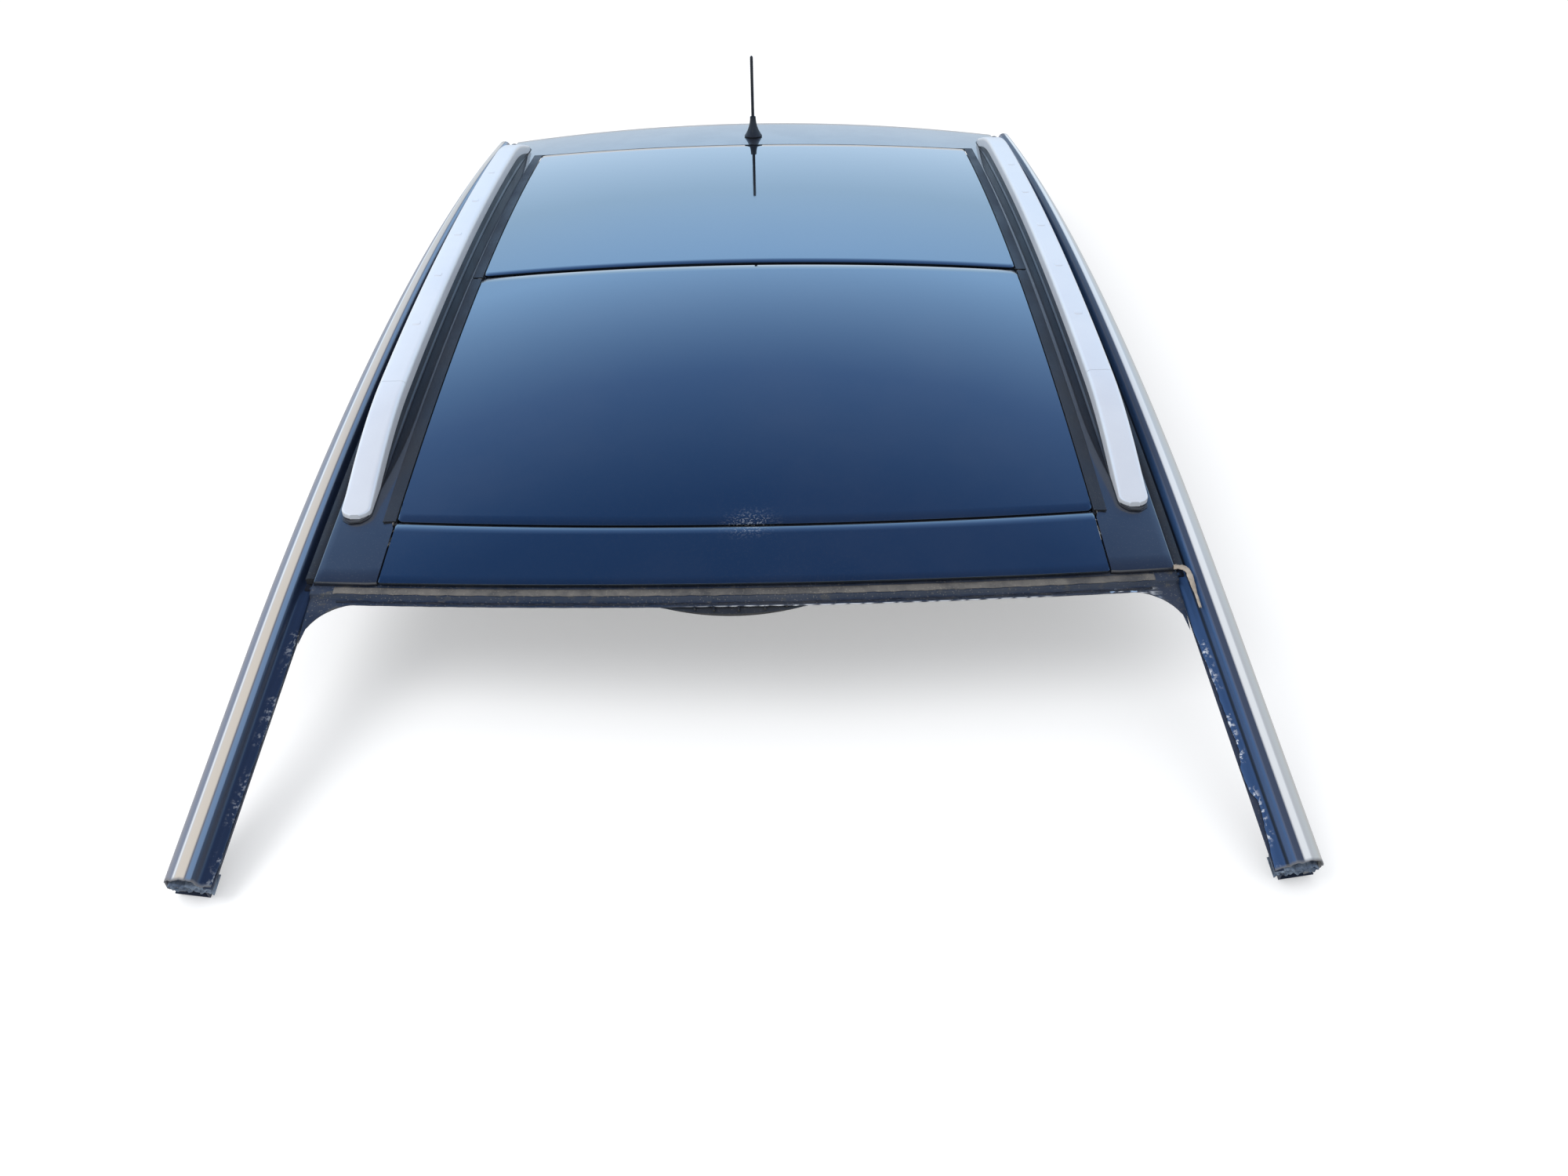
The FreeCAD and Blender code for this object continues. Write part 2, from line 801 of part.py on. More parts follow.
def pillar_route(drop):
    """Spine of the pillar and cant rail: roof arc, bend and straight pillar, in plain numbers."""
    along = ALONG.number
    centre = V(0, APEX_Y.number, APEX_Z.number - ALONG.number)
    edge = crown(cant_x).number - drop

    def on_roof(y):
        angle = math.asin((y - APEX_Y.number) / along)
        reach = along + edge
        return V(cant_x.number, centre.y + reach * math.sin(angle), centre.z + reach * math.cos(angle)), angle

    rear, _ = on_roof(cant_rear.number)
    middle, _ = on_roof((bend_y.number + cant_rear.number) / 2)
    start, angle = on_roof(bend_y.number)
    ahead = V(0, -math.cos(angle), math.sin(angle))
    slope = math.radians(size("pillar_slope_degrees").number)
    splay = math.radians(size("pillar_splay_degrees").number)
    down = V(math.tan(splay), -1, -math.tan(slope)).normalize()
    turn = math.acos(ahead.dot(down))
    radius = size("pillar_bend_radius").number
    reach = radius * math.tan(turn / 2)
    corner = start + ahead * reach
    finish = corner + down * reach
    inward = (down - ahead * ahead.dot(down)).normalize()
    hub = start + inward * radius
    halfway = hub + ((corner - hub).normalize() * radius)
    rest = (finish.y - size("pillar_end_y").number) / -down.y
    foot = finish + down * rest
    edges = [
        Part.Arc(rear, middle, start).toShape(),
        Part.Arc(start, halfway, finish).toShape(),
        Part.LineSegment(finish, foot).toShape(),
    ]
    return Part.Wire(edges), rear


def swept_sheet(name, points, drop):
    """Bent sheet section carried along the pillar route; u is outward and w is up."""
    route, start = pillar_route(drop)
    angle = math.asin((start.y - APEX_Y.number) / ALONG.number)
    up = V(0, math.sin(angle), math.cos(angle))
    loop = [start + V(1, 0, 0) * a.number + up * b.number for a, b in sheet_loop(points)]
    section = Part.makePolygon(loop + [loop[0]])
    solid = route.makePipeShell([section], True, False)
    item = doc.addObject("Part::Feature", name)
    item.Shape = solid
    return item


flange = size("flange_width")
rise = size("wall_rise")
crest = size("crest_width")
drop = size("side_drop")
cant_drop = size("cant_drop").number
side = swept_sheet(
    "body_side",
    [
        (0, 0, 0, -1),
        (flange, 0, 1, -1),
        (flange + 5, rise * 0.75, 1, -0.6),
        (flange + 12, rise, 0.3, -1),
        (flange + crest * 0.62, rise - 1, -0.2, -1),
        (flange + crest * 0.9, rise * 0.45, -0.8, -0.8),
        (flange + crest, -rise * 0.4, -1, -0.2),
        (flange + crest - 2, rise - drop, -1, 0.6),
        (flange + crest - 16, rise - drop - 4, 0, 1),
    ],
    cant_drop,
)
corner = size("corner_radius")
corner_x = cant_x - corner
corner_edge_y = bow_y(flange_front, HALF, PANEL_BOW, corner_x)
corner_foot_x = cant_x + size("corner_foot_outset")
corner_foot_y = bow_y(flange_front, HALF, PANEL_BOW, HALF) - corner
corner_sheet = swept_sheet(
    "corner_sheet",
    [
        (-corner - STEEL, crown(corner_x) - crown(cant_x) + size("corner_lift"), 0, -1),
        (STEEL * 2, 0, 0, -1),
    ],
    cant_drop,
)
corner_plan = [
    (corner_x, corner_edge_y),
    (corner_foot_x, corner_foot_y),
    (corner_foot_x + STEEL, corner_foot_y),
    (cant_x + STEEL, corner_foot_y + corner + size("corner_lap")),
    (corner_x, corner_edge_y + size("corner_lap")),
]
corner_plate = combine("Common", "corner_plate", corner_sheet, column("corner", corner_plan, {0: (corner, 1)}))
both_sides("body_side", combine("MultiFuse", "body_side_stamping", side, corner_plate))
inner_gap = STEEL + SEAT
inner = swept_sheet(
    "pillar_inner",
    [
        (0, -inner_gap, 0, -1),
        (flange - 4, -inner_gap, -0.6, -1),
        (flange + 1, rise - drop - 6 - SEAT * 2 - STEEL, -1, -1),
        (flange + crest - 4, rise - drop - 4 - SEAT - STEEL * 0.2, 0, -1),
    ],
    cant_drop,
)
both_sides("pillar_inner", inner)

# Rear pillar stubs, which the cut roof stands on behind, and the rear header with its hinge pads.
stub_x = cant_x + size("rear_pillar_outset")
stub_y = PANEL_REAR - size("rear_pillar_inset")
stub_len = size("rear_pillar_length")
stub_deep = size("rear_pillar_depth")
inner_floor = rise - drop - 6 - SEAT * 2 - STEEL
stub_top = crown(cant_x) - size("cant_drop") + inner_floor - STEEL - SEAT
stub_plan = sheet_loop(
    [
        (stub_x, stub_y, 0, 1),
        (stub_x + stub_deep, stub_y, -1, 1),
        (stub_x + stub_deep, stub_y + stub_len, -1, -1),
        (stub_x, stub_y + stub_len, 0, -1),
    ]
)
stub_sketch = sketch("rear_pillar_plan", stub_plan)
stub = doc.addObject("Part::Extrusion", "rear_pillar_column")
stub.Base = stub_sketch
stub.DirMode = "Custom"
stub.Dir = V(0, 0, 1)
stub.Solid = True
bind(stub, "LengthFwd", APEX_Z)
under_rail = along_roof(
    "under_rail",
    [
        (stub_x - 20, stub_top - APEX_Z * 2),
        (stub_x + stub_deep + 20, stub_top - APEX_Z * 2),
        (stub_x + stub_deep + 20, stub_top),
        (stub_x - 20, stub_top),
    ],
    stub_y - 60,
    stub_y + stub_len + 60,
)
both_sides("rear_pillar", combine("Common", "rear_pillar", stub, under_rail))

rear_front = PANEL_REAR - size("panel_rear_bow") - size("rear_header_width") - LIP
rear_low = -size("rear_header_depth")
rear_top = -STEEL - SEAT
rear_channel = across_roof(
    "rear_header",
    sheet_loop(
        [
            (rear_front - LIP, rear_top, 0, -1),
            (rear_front, rear_top, -1, -1),
            (rear_front + LEAN, rear_low, -1, -1),
            (rear_front + size("rear_header_width") - LEAN, rear_low, 1, -1),
            (rear_front + size("rear_header_width"), rear_top, 1, -1),
            (rear_front + size("rear_header_width") + LIP - 2, rear_top, 0, -1),
        ]
    ),
    HALF - 8,
    rear_front,
)
hinge_x = HALF - size("hinge_pad_inset")
hinge_y = rear_front + size("rear_header_width") / 2
pitch = size("hinge_pad_pitch")
bolt_radius = size("hinge_bolt_diameter") / 2
pad_low = roof_z(hinge_y) + crown(hinge_x + pitch / 2 + size("hinge_pad_rim")) + rear_low
pad_reach = pitch / 2 + size("hinge_pad_rim")
pads = []
holes = []
for side_sign in (-1, 1):
    pads.append(
        box(
            f"hinge_pad_{len(pads)}",
            hinge_x * side_sign - pad_reach,
            hinge_y - size("hinge_pad_rim"),
            pad_low,
            pad_reach * 2,
            size("hinge_pad_rim") * 2,
            size("hinge_pad_height"),
        )
    )
    for step in (-0.5, 0.5):
        holes.append(
            rod(
                f"hinge_hole_{len(holes)}",
                hinge_x * side_sign + pitch * step,
                hinge_y,
                0,
                bolt_radius,
                roof_z(hinge_y) - 12,
                "Z",
            )
        )
rear_body = combine("MultiFuse", "rear_header_body", rear_channel, *pads)
node("rear_header", combine("Cut", "rear_header", rear_body, combine("MultiFuse", "hinge_holes", *holes)))

# Roof rails: bright bar, its front foot, dark base below and small mounting plugs on top.
RAIL_X = HALF - size("rail_inset")
RAIL_W = size("rail_width")
rail_in = RAIL_X - RAIL_W / 2
rail_out = RAIL_X + RAIL_W / 2
rail_drop = crown(RAIL_X)
foot_front = PANEL_FRONT + size("rail_front_setback")
foot_end = foot_front + size("rail_foot_length")
rail_rear = PANEL_REAR - size("rail_rear_inset")
rail_top_at = size("rail_height")
bar_deep = size("rail_bar_depth")
rear_fall_y = rail_rear - size("rail_rear_fall")


def rail_z(y, over):
    return roof_z(y) + rail_drop + over


def long_arc(over):
    return ALONG + over


foot_tip = size("rail_foot_tip")
foot_low = rail_top_at - bar_deep
foot_mid = (foot_front * 2 + foot_end) / 3
foot_profile = [
    (foot_front, rail_z(foot_front, size("pad_edge") + SEAT)),
    (foot_front, rail_z(foot_front, size("pad_edge") + SEAT + foot_tip)),
    (foot_end, rail_z(foot_end, rail_top_at)),
    (foot_end, rail_z(foot_end, foot_low)),
    (foot_mid, rail_z(foot_mid, size("pad_edge") + SEAT + 5)),
]
foot_plan = [
    (rail_in, foot_front + RAIL_W * 0.35),
    (RAIL_X - RAIL_W * 0.15, foot_front),
    (RAIL_X + RAIL_W * 0.15, foot_front),
    (rail_out, foot_front + RAIL_W * 0.35),
    (rail_out, foot_end),
    (rail_in, foot_end),
]
foot_corner = RAIL_W * 0.36
both_sides(
    "rail_foot",
    combine(
        "Common",
        "rail_foot",
        side_plate("rail_foot", foot_profile, rail_in, RAIL_W, arcs={1: (ALONG / 7, 1)}),
        column("rail_foot_plan", foot_plan, arcs={0: (foot_corner, -1), 2: (foot_corner, -1)}),
    ),
)
bar_start = foot_end + size("rail_seam")
bar_profile = [
    (bar_start, rail_z(bar_start, foot_low)),
    (bar_start, rail_z(bar_start, rail_top_at)),
    (rear_fall_y, rail_z(rear_fall_y, rail_top_at)),
    (rail_rear, rail_z(rail_rear, size("pad_edge") + SEAT + foot_tip)),
    (rail_rear, rail_z(rail_rear, size("pad_edge") + SEAT)),
    (rear_fall_y, rail_z(rear_fall_y, foot_low)),
]
bar = side_plate(
    "roof_rail",
    bar_profile,
    rail_in,
    RAIL_W,
    arcs={1: (long_arc(rail_top_at), 1), 2: (ALONG / 7, 1), 5: (long_arc(foot_low), -1)},
)
plug = size("plug_size")
plug_hole = plug + SEAT * 2
plug_depth = size("plug_depth")
plug_height = size("plug_proud") + plug_depth - SEAT
plug_holes = []
plugs = []
for number in range(int(size("plug_count").number)):
    plug_y = foot_end + size("plug_lead") + size("plug_pitch") * number
    plug_z = rail_z(plug_y, rail_top_at) - plug_depth
    hole_at = (RAIL_X - plug_hole / 2, plug_y - plug_hole / 2, plug_z)
    plug_at = (RAIL_X - plug / 2, plug_y - plug / 2, plug_z + SEAT)
    plug_holes.append(box(f"plug_hole_{number}", *hole_at, plug_hole, plug_hole, plug_depth * 3))
    plugs.append(box(f"plug_{number}", *plug_at, plug, plug, plug_height))
plug_group = combine("MultiFuse", "plug_row", *plugs)
pair("rail_plugs", plug_group)
both_sides("roof_rail", combine("Cut", "roof_rail", bar, combine("MultiFuse", "plug_holes", *plug_holes)))
pad_edge = size("pad_edge")
pad_nose = size("pad_nose")
pad_profile = [
    (foot_front - pad_nose, rail_z(foot_front - pad_nose, -pad_edge)),
    (foot_front - pad_nose, rail_z(foot_front - pad_nose, pad_edge)),
    (foot_front + 2, rail_z(foot_front + 2, pad_edge)),
    (foot_mid, rail_z(foot_mid, pad_edge + 4.2)),
    (foot_end, rail_z(foot_end, foot_low - SEAT)),
    (rear_fall_y, rail_z(rear_fall_y, foot_low - SEAT)),
    (rail_rear + 1, rail_z(rail_rear + 1, pad_edge)),
    (rail_rear + pad_nose, rail_z(rail_rear + pad_nose, pad_edge)),
    (rail_rear + pad_nose, rail_z(rail_rear + pad_nose, -pad_edge * 3)),
]
pad_blank = side_plate("rail_pad", pad_profile, rail_in + 1, RAIL_W - 2, arcs={4: (long_arc(foot_low), 1)})
pad_floor = slab("pad_floor", SEAT, RAIL_W * 2, HALF, foot_front - RAIL_W, rail_rear + RAIL_W)
both_sides("rail_pad", combine("Cut", "rail_pad", pad_blank, pad_floor))

# Black mouldings in the roof ditches; the right one has torn loose at its front end.
mould_in = HALF + SEAT
mould_out = HALF + size("ditch_width") - 2
mould_low = crown(HALF) - ditch + SEAT
mould_corners = [
    (mould_in, mould_low),
    (mould_in, crown(HALF) - 3),
    (mould_in + 2, crown(HALF) - 2),
    (mould_out - 2, crown(HALF) - 2),
    (mould_out, crown(HALF) - 3),
    (mould_out, mould_low),
]
mould = along_roof("ditch_moulding", mould_corners, corner_y + 4, rear_corner_y - 6)
node("ditch_moulding_left", mirror("ditch_moulding_twin", mould))
torn_front = corner_y + 4 - size("torn_strip_length")
torn_z = roof_z(corner_y) + crown(HALF)
torn = side_plate(
    "torn_strip",
    [
        (corner_y + 14, torn_z - 7),
        (corner_y + 14, torn_z - 3),
        (corner_y - 8, torn_z + 4),
        (corner_y - 16, torn_z + 3),
        (torn_front, torn_z - 17),
        (torn_front, torn_z - 21),
        (corner_y - 14, torn_z - 1),
        (corner_y - 6, torn_z),
    ],
    mould_in + 2,
    size("torn_strip_width"),
)
node("ditch_moulding_right", combine("MultiFuse", "ditch_moulding", mould, torn))

# Aluminium guide rails: channel for the slide shoes above, groove for the shade below.
GUIDE_IN = GUIDE_OUT - size("guide_width")
WALL = size("guide_wall")
g_top = size("guide_top")
g_low = size("guide_bottom")
g_base = crown(GUIDE_OUT)
leg_x = GUIDE_IN + size("shade_leg_inset")
foot_x = leg_x - size("shade_foot_width")
leg_low = g_low - size("shade_leg_drop")
guide_corners = [
    (GUIDE_OUT, g_base + g_top),
    (GUIDE_OUT, g_base + g_low),
    (leg_x + WALL, g_base + g_low),
    (leg_x + WALL, g_base + leg_low),
    (foot_x, g_base + leg_low),
    (foot_x, g_base + leg_low + WALL),
    (leg_x, g_base + leg_low + WALL),
    (leg_x, g_base + g_low),
    (GUIDE_IN, g_base + g_low),
    (GUIDE_IN, g_base + g_low + WALL + size("guide_lip")),
    (GUIDE_IN + WALL, g_base + g_low + WALL + size("guide_lip")),
    (GUIDE_IN + WALL, g_base + g_low + WALL),
    (GUIDE_OUT - WALL, g_base + g_low + WALL),
    (GUIDE_OUT - WALL, g_base + g_top - WALL),
    (GUIDE_OUT - size("guide_top_flange"), g_base + g_top - WALL),
    (GUIDE_OUT - size("guide_top_flange"), g_base + g_top),
]
guide_front = GLASS_FRONT + size("guide_front_setback")
guide_rear = REAR_END + size("guide_rear_reach")
both_sides("guide_rail", along_roof("guide_rail", guide_corners, guide_front, guide_rear))
bond_low = g_base + g_top + SEAT
side_bond = along_roof(
    "side_bond",
    [
        (GUIDE_OUT - size("guide_top_flange") + 1, bond_low),
        (GLASS - 1, bond_low),
        (GLASS - 1, crown(GLASS) - GLASS_T - SEAT),
        (GUIDE_OUT - size("guide_top_flange") + 1, crown(GLASS) - GLASS_T - SEAT + 0.1),
    ],
    SEAM + SEAM_GAP + SEAM_BOW + 8,
    REAR_END - 6,
)

# Cross members of the sunroof frame.
frame_y = GLASS_FRONT - size("front_frame_lead")
frame_w = size("front_frame_width")
frame_top = inner_top - STEEL - SEAT
web_y = frame_y + size("front_frame_web")
beam_half = GUIDE_OUT - 2
node(
    "front_frame",
    across_roof(
        "front_frame",
        [
            (frame_y + frame_w, g_low),
            (frame_y + frame_w, g_low + WALL),
            (web_y, g_low + WALL),
            (web_y, frame_top),
            (frame_y, frame_top),
            (frame_y, frame_top - WALL),
            (web_y - WALL, frame_top - WALL),
            (web_y - WALL, g_low),
        ],
        beam_half,
        frame_y,
    ),
)
beam_y = SEAM + SEAM_GAP + 8
beam_low = g_low - size("cross_beam_depth") / 4
node(
    "centre_beam",
    across_roof(
        "centre_beam",
        sheet_loop(
            [
                (beam_y - size("cross_beam_width") / 2, cross_low - SEAT, 0, -1),
                (beam_y - 8, cross_low - SEAT, -1, -1),
                (beam_y - 4, beam_low + 8, -1, -1),
                (beam_y + 14, beam_low + 8, 1, -1),
                (beam_y + 18, cross_low - SEAT, 1, -1),
                (beam_y + size("cross_beam_width") / 2, cross_low - SEAT, 0, -1),
            ]
        ),
        GUIDE_IN - SEAT,
        beam_y,
    ),
)
rear_beam_y = REAR_END - size("rear_beam_width") + 6
node(
    "rear_beam",
    across_roof(
        "rear_beam",
        sheet_loop(
            [
                (rear_beam_y, g_top, 0, -1),
                (rear_beam_y + 30, g_top, -1, -1),
                (rear_beam_y + 32, g_low, -1, -1),
                (rear_beam_y + size("rear_beam_width") + 8, g_low, 0, -1),
            ]
        ),
        GUIDE_IN - SEAT,
        rear_beam_y,
    ),
)
rear_bond_low = g_top + SEAT
cross_bonds = []
for label, start, width, half in (
    ("rear_cross_bond", rear_beam_y + 8, 12, GUIDE_IN - 6),
    ("middle_cross_bond", beam_y + 6, 10, GUIDE_IN - 6),
):
    low = rear_bond_low if label == "rear_cross_bond" else cross_low
    cross_bonds.append(
        across_roof(
            label,
            [
                (start, low),
                (start + width, low),
                (start + width - 2, -GLASS_T - SEAT),
                (start + 2, -GLASS_T - SEAT),
            ],
            half,
            start,
        )
    )
pair("rear_glass_bond", side_bond, *cross_bonds)
strip_bond_low = step_top + SEAT
bond_front = PANEL_FRONT + size("strip_bond_inset")
bond_rear = bond_front + size("strip_bond_width")
bond_height = -strip_bond_low - GLASS_T - SEAT
bond_half = GLASS - size("strip_bond_inset")
node("strip_bond", band("strip_bond", bond_front, bond_rear, -GLASS_T - SEAT, bond_height, bond_half))

# Slide shoes with the pivot pin, lift levers and glass brackets, in lanes side by side.
pivot_y = GLASS_FRONT + size("pivot_setback")
PIN = size("pin_radius")
LANE = size("lane_width")
LANE_GAP = size("lane_gap")
shoe_x = GUIDE_IN + size("shoe_gap")
lever_x = shoe_x + LANE + LANE_GAP
bracket_x = lever_x + LANE + LANE_GAP
mech_drop = crown(bracket_x)


def mech_z(y, over):
    return roof_z(Size.of(y)) + mech_drop + over


pivot_z = mech_z(pivot_y, -size("pivot_drop"))
shoe_len = size("shoe_length")
shoe_low = g_low + WALL + RUN
shoe_base_high = shoe_low + 7
reach = size("lever_reach")
base_right = along_roof(
    "shoe_base",
    [
        (shoe_x, g_base + shoe_low),
        (GUIDE_OUT - WALL - RUN, g_base + shoe_low),
        (GUIDE_OUT - WALL - RUN, g_base + shoe_base_high),
        (shoe_x, g_base + shoe_base_high),
    ],
    pivot_y - shoe_len / 2,
    pivot_y + reach,
)
ear = side_plate(
    "shoe_ear",
    [
        (pivot_y - 12, mech_z(pivot_y - 12, shoe_low + 3)),
        (pivot_y + 12, mech_z(pivot_y + 12, shoe_low + 3)),
        (pivot_y + 6, pivot_z + 5),
        (pivot_y - 6, pivot_z + 5),
    ],
    shoe_x,
    LANE,
)
pin = rod("pivot_pin", shoe_x, pivot_y, pivot_z, PIN, LANE * 3 + LANE_GAP * 2, "X")
waist_x = GUIDE_OUT - size("shoe_waist")
waist_at = (waist_x, pivot_y + shoe_len, mech_z(pivot_y, g_low))
shoe_cut = box("shoe_waist", *waist_at, size("guide_width"), reach - shoe_len * 2, shoe_len)
shoe_body = combine("Cut", "shoe_body", base_right, shoe_cut)
both_sides("slide_shoe", combine("MultiFuse", "slide_shoe", shoe_body, ear, pin))
lever_end = pivot_y + reach
lever_profile = [
    (pivot_y - 6, mech_z(pivot_y, -size("pivot_drop") - 5)),
    (lever_end, mech_z(lever_end, -size("pivot_drop") - 3)),
    (lever_end, mech_z(lever_end, -size("pivot_drop") + 3)),
    (pivot_y - 6, mech_z(pivot_y, -size("pivot_drop") + 5)),
]
lever_hole = rod("lever_hole", lever_x - 1, pivot_y, pivot_z, PIN + size("pin_clearance"), LANE + 2, "X")
both_sides(
    "lift_lever",
    combine("Cut", "lift_lever", side_plate("lift_lever", lever_profile, lever_x, LANE), lever_hole),
)
plate_top = -GLASS_T - size("pad_bond")
bracket_web = side_plate(
    "bracket_web",
    [
        (pivot_y - 7, mech_z(pivot_y, -size("pivot_drop") - 5)),
        (pivot_y + 8, mech_z(pivot_y, -size("pivot_drop") - 5)),
        (lever_end - 10, mech_z(lever_end - 10, plate_top - 8)),
        (lever_end - 10, mech_z(lever_end - 10, plate_top - 1)),
        (pivot_y - 7, mech_z(pivot_y - 7, plate_top - 1)),
    ],
    bracket_x,
    LANE,
)
bracket_plate = strip_along(
    "bracket_plate", shoe_x + 1, bracket_x + LANE, plate_top, Size.of(2.4), pivot_y - 6, lever_end - 8
)
pin_bore = PIN + size("pin_clearance")
bracket_hole = rod("bracket_hole", bracket_x - 1, pivot_y, pivot_z, pin_bore, LANE + 2, "X")
bracket = combine("MultiFuse", "bracket_body", bracket_web, bracket_plate)
both_sides("glass_bracket", combine("Cut", "glass_bracket", bracket, bracket_hole))
pair(
    "bracket_bond",
    strip_along(
        "bracket_bond_strip",
        shoe_x + 3,
        bracket_x + LANE - 2,
        -GLASS_T - SEAT / 2,
        size("pad_bond") - SEAT,
        pivot_y + 4,
        lever_end - 16,
    ),
)

# Wind deflector: a bar that follows the glass edge, on two arms with pivot pins.
setback = size("deflector_setback")
bar_front = GLASS_FRONT + setback
bar_rear = bar_front + size("deflector_bar_width")
arm_x = GUIDE_IN - size("deflector_arm_gap")
bar_half = arm_x + size("deflector_arm_width")
bar_bow = bow_y(GLASS_FRONT, GLASS, GLASS_BOW, bar_half) - GLASS_FRONT
outline, curves = bowed(bar_half, bar_front, bar_bow, bar_rear, bar_bow)
deflector_bar = plan_sheet(
    "deflector_bar",
    -size("deflector_drop"),
    size("deflector_bar_height"),
    outline,
    curves,
    None,
    (bar_front, bar_rear, bar_half),
)
arm_y = GLASS_FRONT + size("deflector_arm_length")
arm_drop = size("deflector_pivot_drop")
arm_crown = crown(arm_x)
arm_front = bar_front + bar_bow + 2


def arm_z(y, over):
    return roof_z(y) + arm_crown + over


arm_pivot_z = arm_z(arm_y, -arm_drop)
arm = side_plate(
    "deflector_arm",
    [
        (arm_front, arm_z(arm_front, -size("deflector_drop") - size("deflector_bar_height"))),
        (arm_y - 6, arm_pivot_z - 5),
        (arm_y + 6, arm_pivot_z - 5),
        (arm_y + 6, arm_pivot_z + 5),
        (arm_y - 6, arm_pivot_z + 5),
        (arm_front, arm_z(arm_front, -size("deflector_drop") - 1)),
    ],
    arm_x,
    size("deflector_arm_width"),
)
arm_pin = rod("deflector_pin", arm_x + 1, arm_y, arm_pivot_z, PIN, GUIDE_IN - arm_x - 3, "X")
node(
    "wind_deflector",
    combine(
        "MultiFuse",
        "wind_deflector",
        deflector_bar,
        arm,
        mirror("deflector_arm_twin", arm),
        arm_pin,
        mirror("deflector_pin_twin", arm_pin),
    ),
)
block_x = arm_x + size("deflector_arm_width") + 2
pivot_block = side_plate(
    "deflector_block",
    [
        (arm_y - 9, arm_pivot_z - 9),
        (arm_y + 9, arm_pivot_z - 9),
        (arm_y + 9, arm_pivot_z + 4),
        (arm_y + 4, arm_pivot_z + 7),
        (arm_y - 4, arm_pivot_z + 7),
        (arm_y - 9, arm_pivot_z + 4),
    ],
    block_x,
    GUIDE_IN - SEAT - block_x,
)
block_hole = rod("block_hole", block_x - 1, arm_y, arm_pivot_z, pin_bore, size("deflector_arm_gap") * 2, "X")
pair("deflector_pivots", combine("Cut", "deflector_pivot", pivot_block, block_hole))

# Roller shade: cloth under both glass panels, its pull bar, roller and end brackets.
shade_top = -size("shade_drop")
cloth = size("shade_cloth")
shade_half = leg_x - size("shade_side_gap")
bar_y = GLASS_FRONT + size("pull_bar_setback")
bar_w = size("pull_bar_width")
roller_y = REAR_END - size("roller_inset")


def straight_across(name, x_half, top, thickness, front, rear):
    """Strip with a straight level section, as a stretched cloth has between its rails."""
    base = g_base + top
    section = [(-x_half, base), (x_half, base), (x_half, base - thickness), (-x_half, base - thickness)]
    return along_roof(name, section, front, rear)


pull_top = shade_top + 3
pull_low = leg_low + WALL + RUN
node("shade_cloth", straight_across("shade_cloth", shade_half, shade_top, cloth, bar_y + bar_w, roller_y))
node(
    "shade_pull_bar",
    straight_across("shade_pull_bar", shade_half, pull_top, pull_top - pull_low, bar_y, bar_y + bar_w - SEAT),
)
ROLLER = size("roller_radius")
roller_half = foot_x - size("roller_setback")
roller_z = roof_z(roller_y) + g_base + shade_top - cloth - SEAT - ROLLER
journal_end = foot_x + 6
journal = rod("roller_journals", -journal_end, roller_y, roller_z, PIN, journal_end * 2, "X")
roller_tube = rod("roller_tube", -roller_half, roller_y, roller_z, ROLLER, roller_half * 2, "X")
node("shade_roller", combine("MultiFuse", "shade_roller", roller_tube, journal))
bracket_half = size("roller_bracket_half")
bracket_low = roller_z - ROLLER - size("roller_bracket_width")
bracket_high = leg_low - SEAT * 1.5
plate_blank = side_plate(
    "roller_bracket",
    [
        (roller_y - bracket_half, bracket_low),
        (roller_y + bracket_half, bracket_low),
        (roller_y + bracket_half, roof_z(roller_y + bracket_half) + g_base + bracket_high),
        (roller_y - bracket_half, roof_z(roller_y - bracket_half) + g_base + bracket_high),
    ],
    roller_half + RUN,
    size("roller_bracket_width"),
)
journal_hole = rod("journal_hole", roller_half, roller_y, roller_z, pin_bore, ROLLER, "X")
pair("roller_brackets", combine("Cut", "roller_bracket", plate_blank, journal_hole))

# Drive: motor under the front frame, its pinion and the tubes that lead the drive cables out.
drive_y = frame_y + frame_w / 2 + 4
motor_top = roof_z(drive_y) - size("motor_drop")
motor_w = size("motor_width")
motor_h = size("motor_height")
motor_at = (-motor_w / 2, drive_y - motor_w / 2, motor_top - motor_h)
motor_body = box("motor_gearbox", *motor_at, motor_w, motor_w, motor_h)
motor_can = rod(
    "motor_can",
    motor_w / 2 - 1,
    drive_y,
    motor_top - motor_h / 2,
    motor_h * 0.45,
    size("motor_length") - motor_w / 2,
    "X",
)
boss_half = size("motor_boss_width") / 2
boss = side_plate(
    "motor_boss",
    [
        (drive_y - boss_half, motor_top - 1),
        (drive_y + boss_half, motor_top - 1),
        (drive_y + boss_half, roof_z(drive_y + boss_half) + g_low - SEAT * 1.5),
        (drive_y - boss_half, roof_z(drive_y - boss_half) + g_low - SEAT * 1.5),
    ],
    size("motor_boss_x"),
    boss_half * 2,
)
boss_twin = mirror("motor_boss_twin", boss)
node("glass_motor", combine("MultiFuse", "glass_motor", motor_body, motor_can, boss, boss_twin))
pinion_low = motor_top + SEAT
gear = rod("pinion_gear", 0, drive_y, pinion_low, size("pinion_radius"), size("pinion_height"), "Z")
node("drive_pinion", gear)
tube_half = size("cable_radius") * 0.9
for label, offset in (("drive_cable_front", -1), ("drive_cable_rear", 1)):
    tube_y = drive_y + offset * (size("pinion_radius") + size("cable_radius") + SEAT)
    tube_section = [
        (tube_y - tube_half, g_low - SEAT - tube_half * 2),
        (tube_y + tube_half, g_low - SEAT - tube_half * 2),
        (tube_y + tube_half, g_low - SEAT),
        (tube_y - tube_half, g_low - SEAT),
    ]
    node(label, across_roof(label, tube_section, GUIDE_IN - LEAN, drive_y))

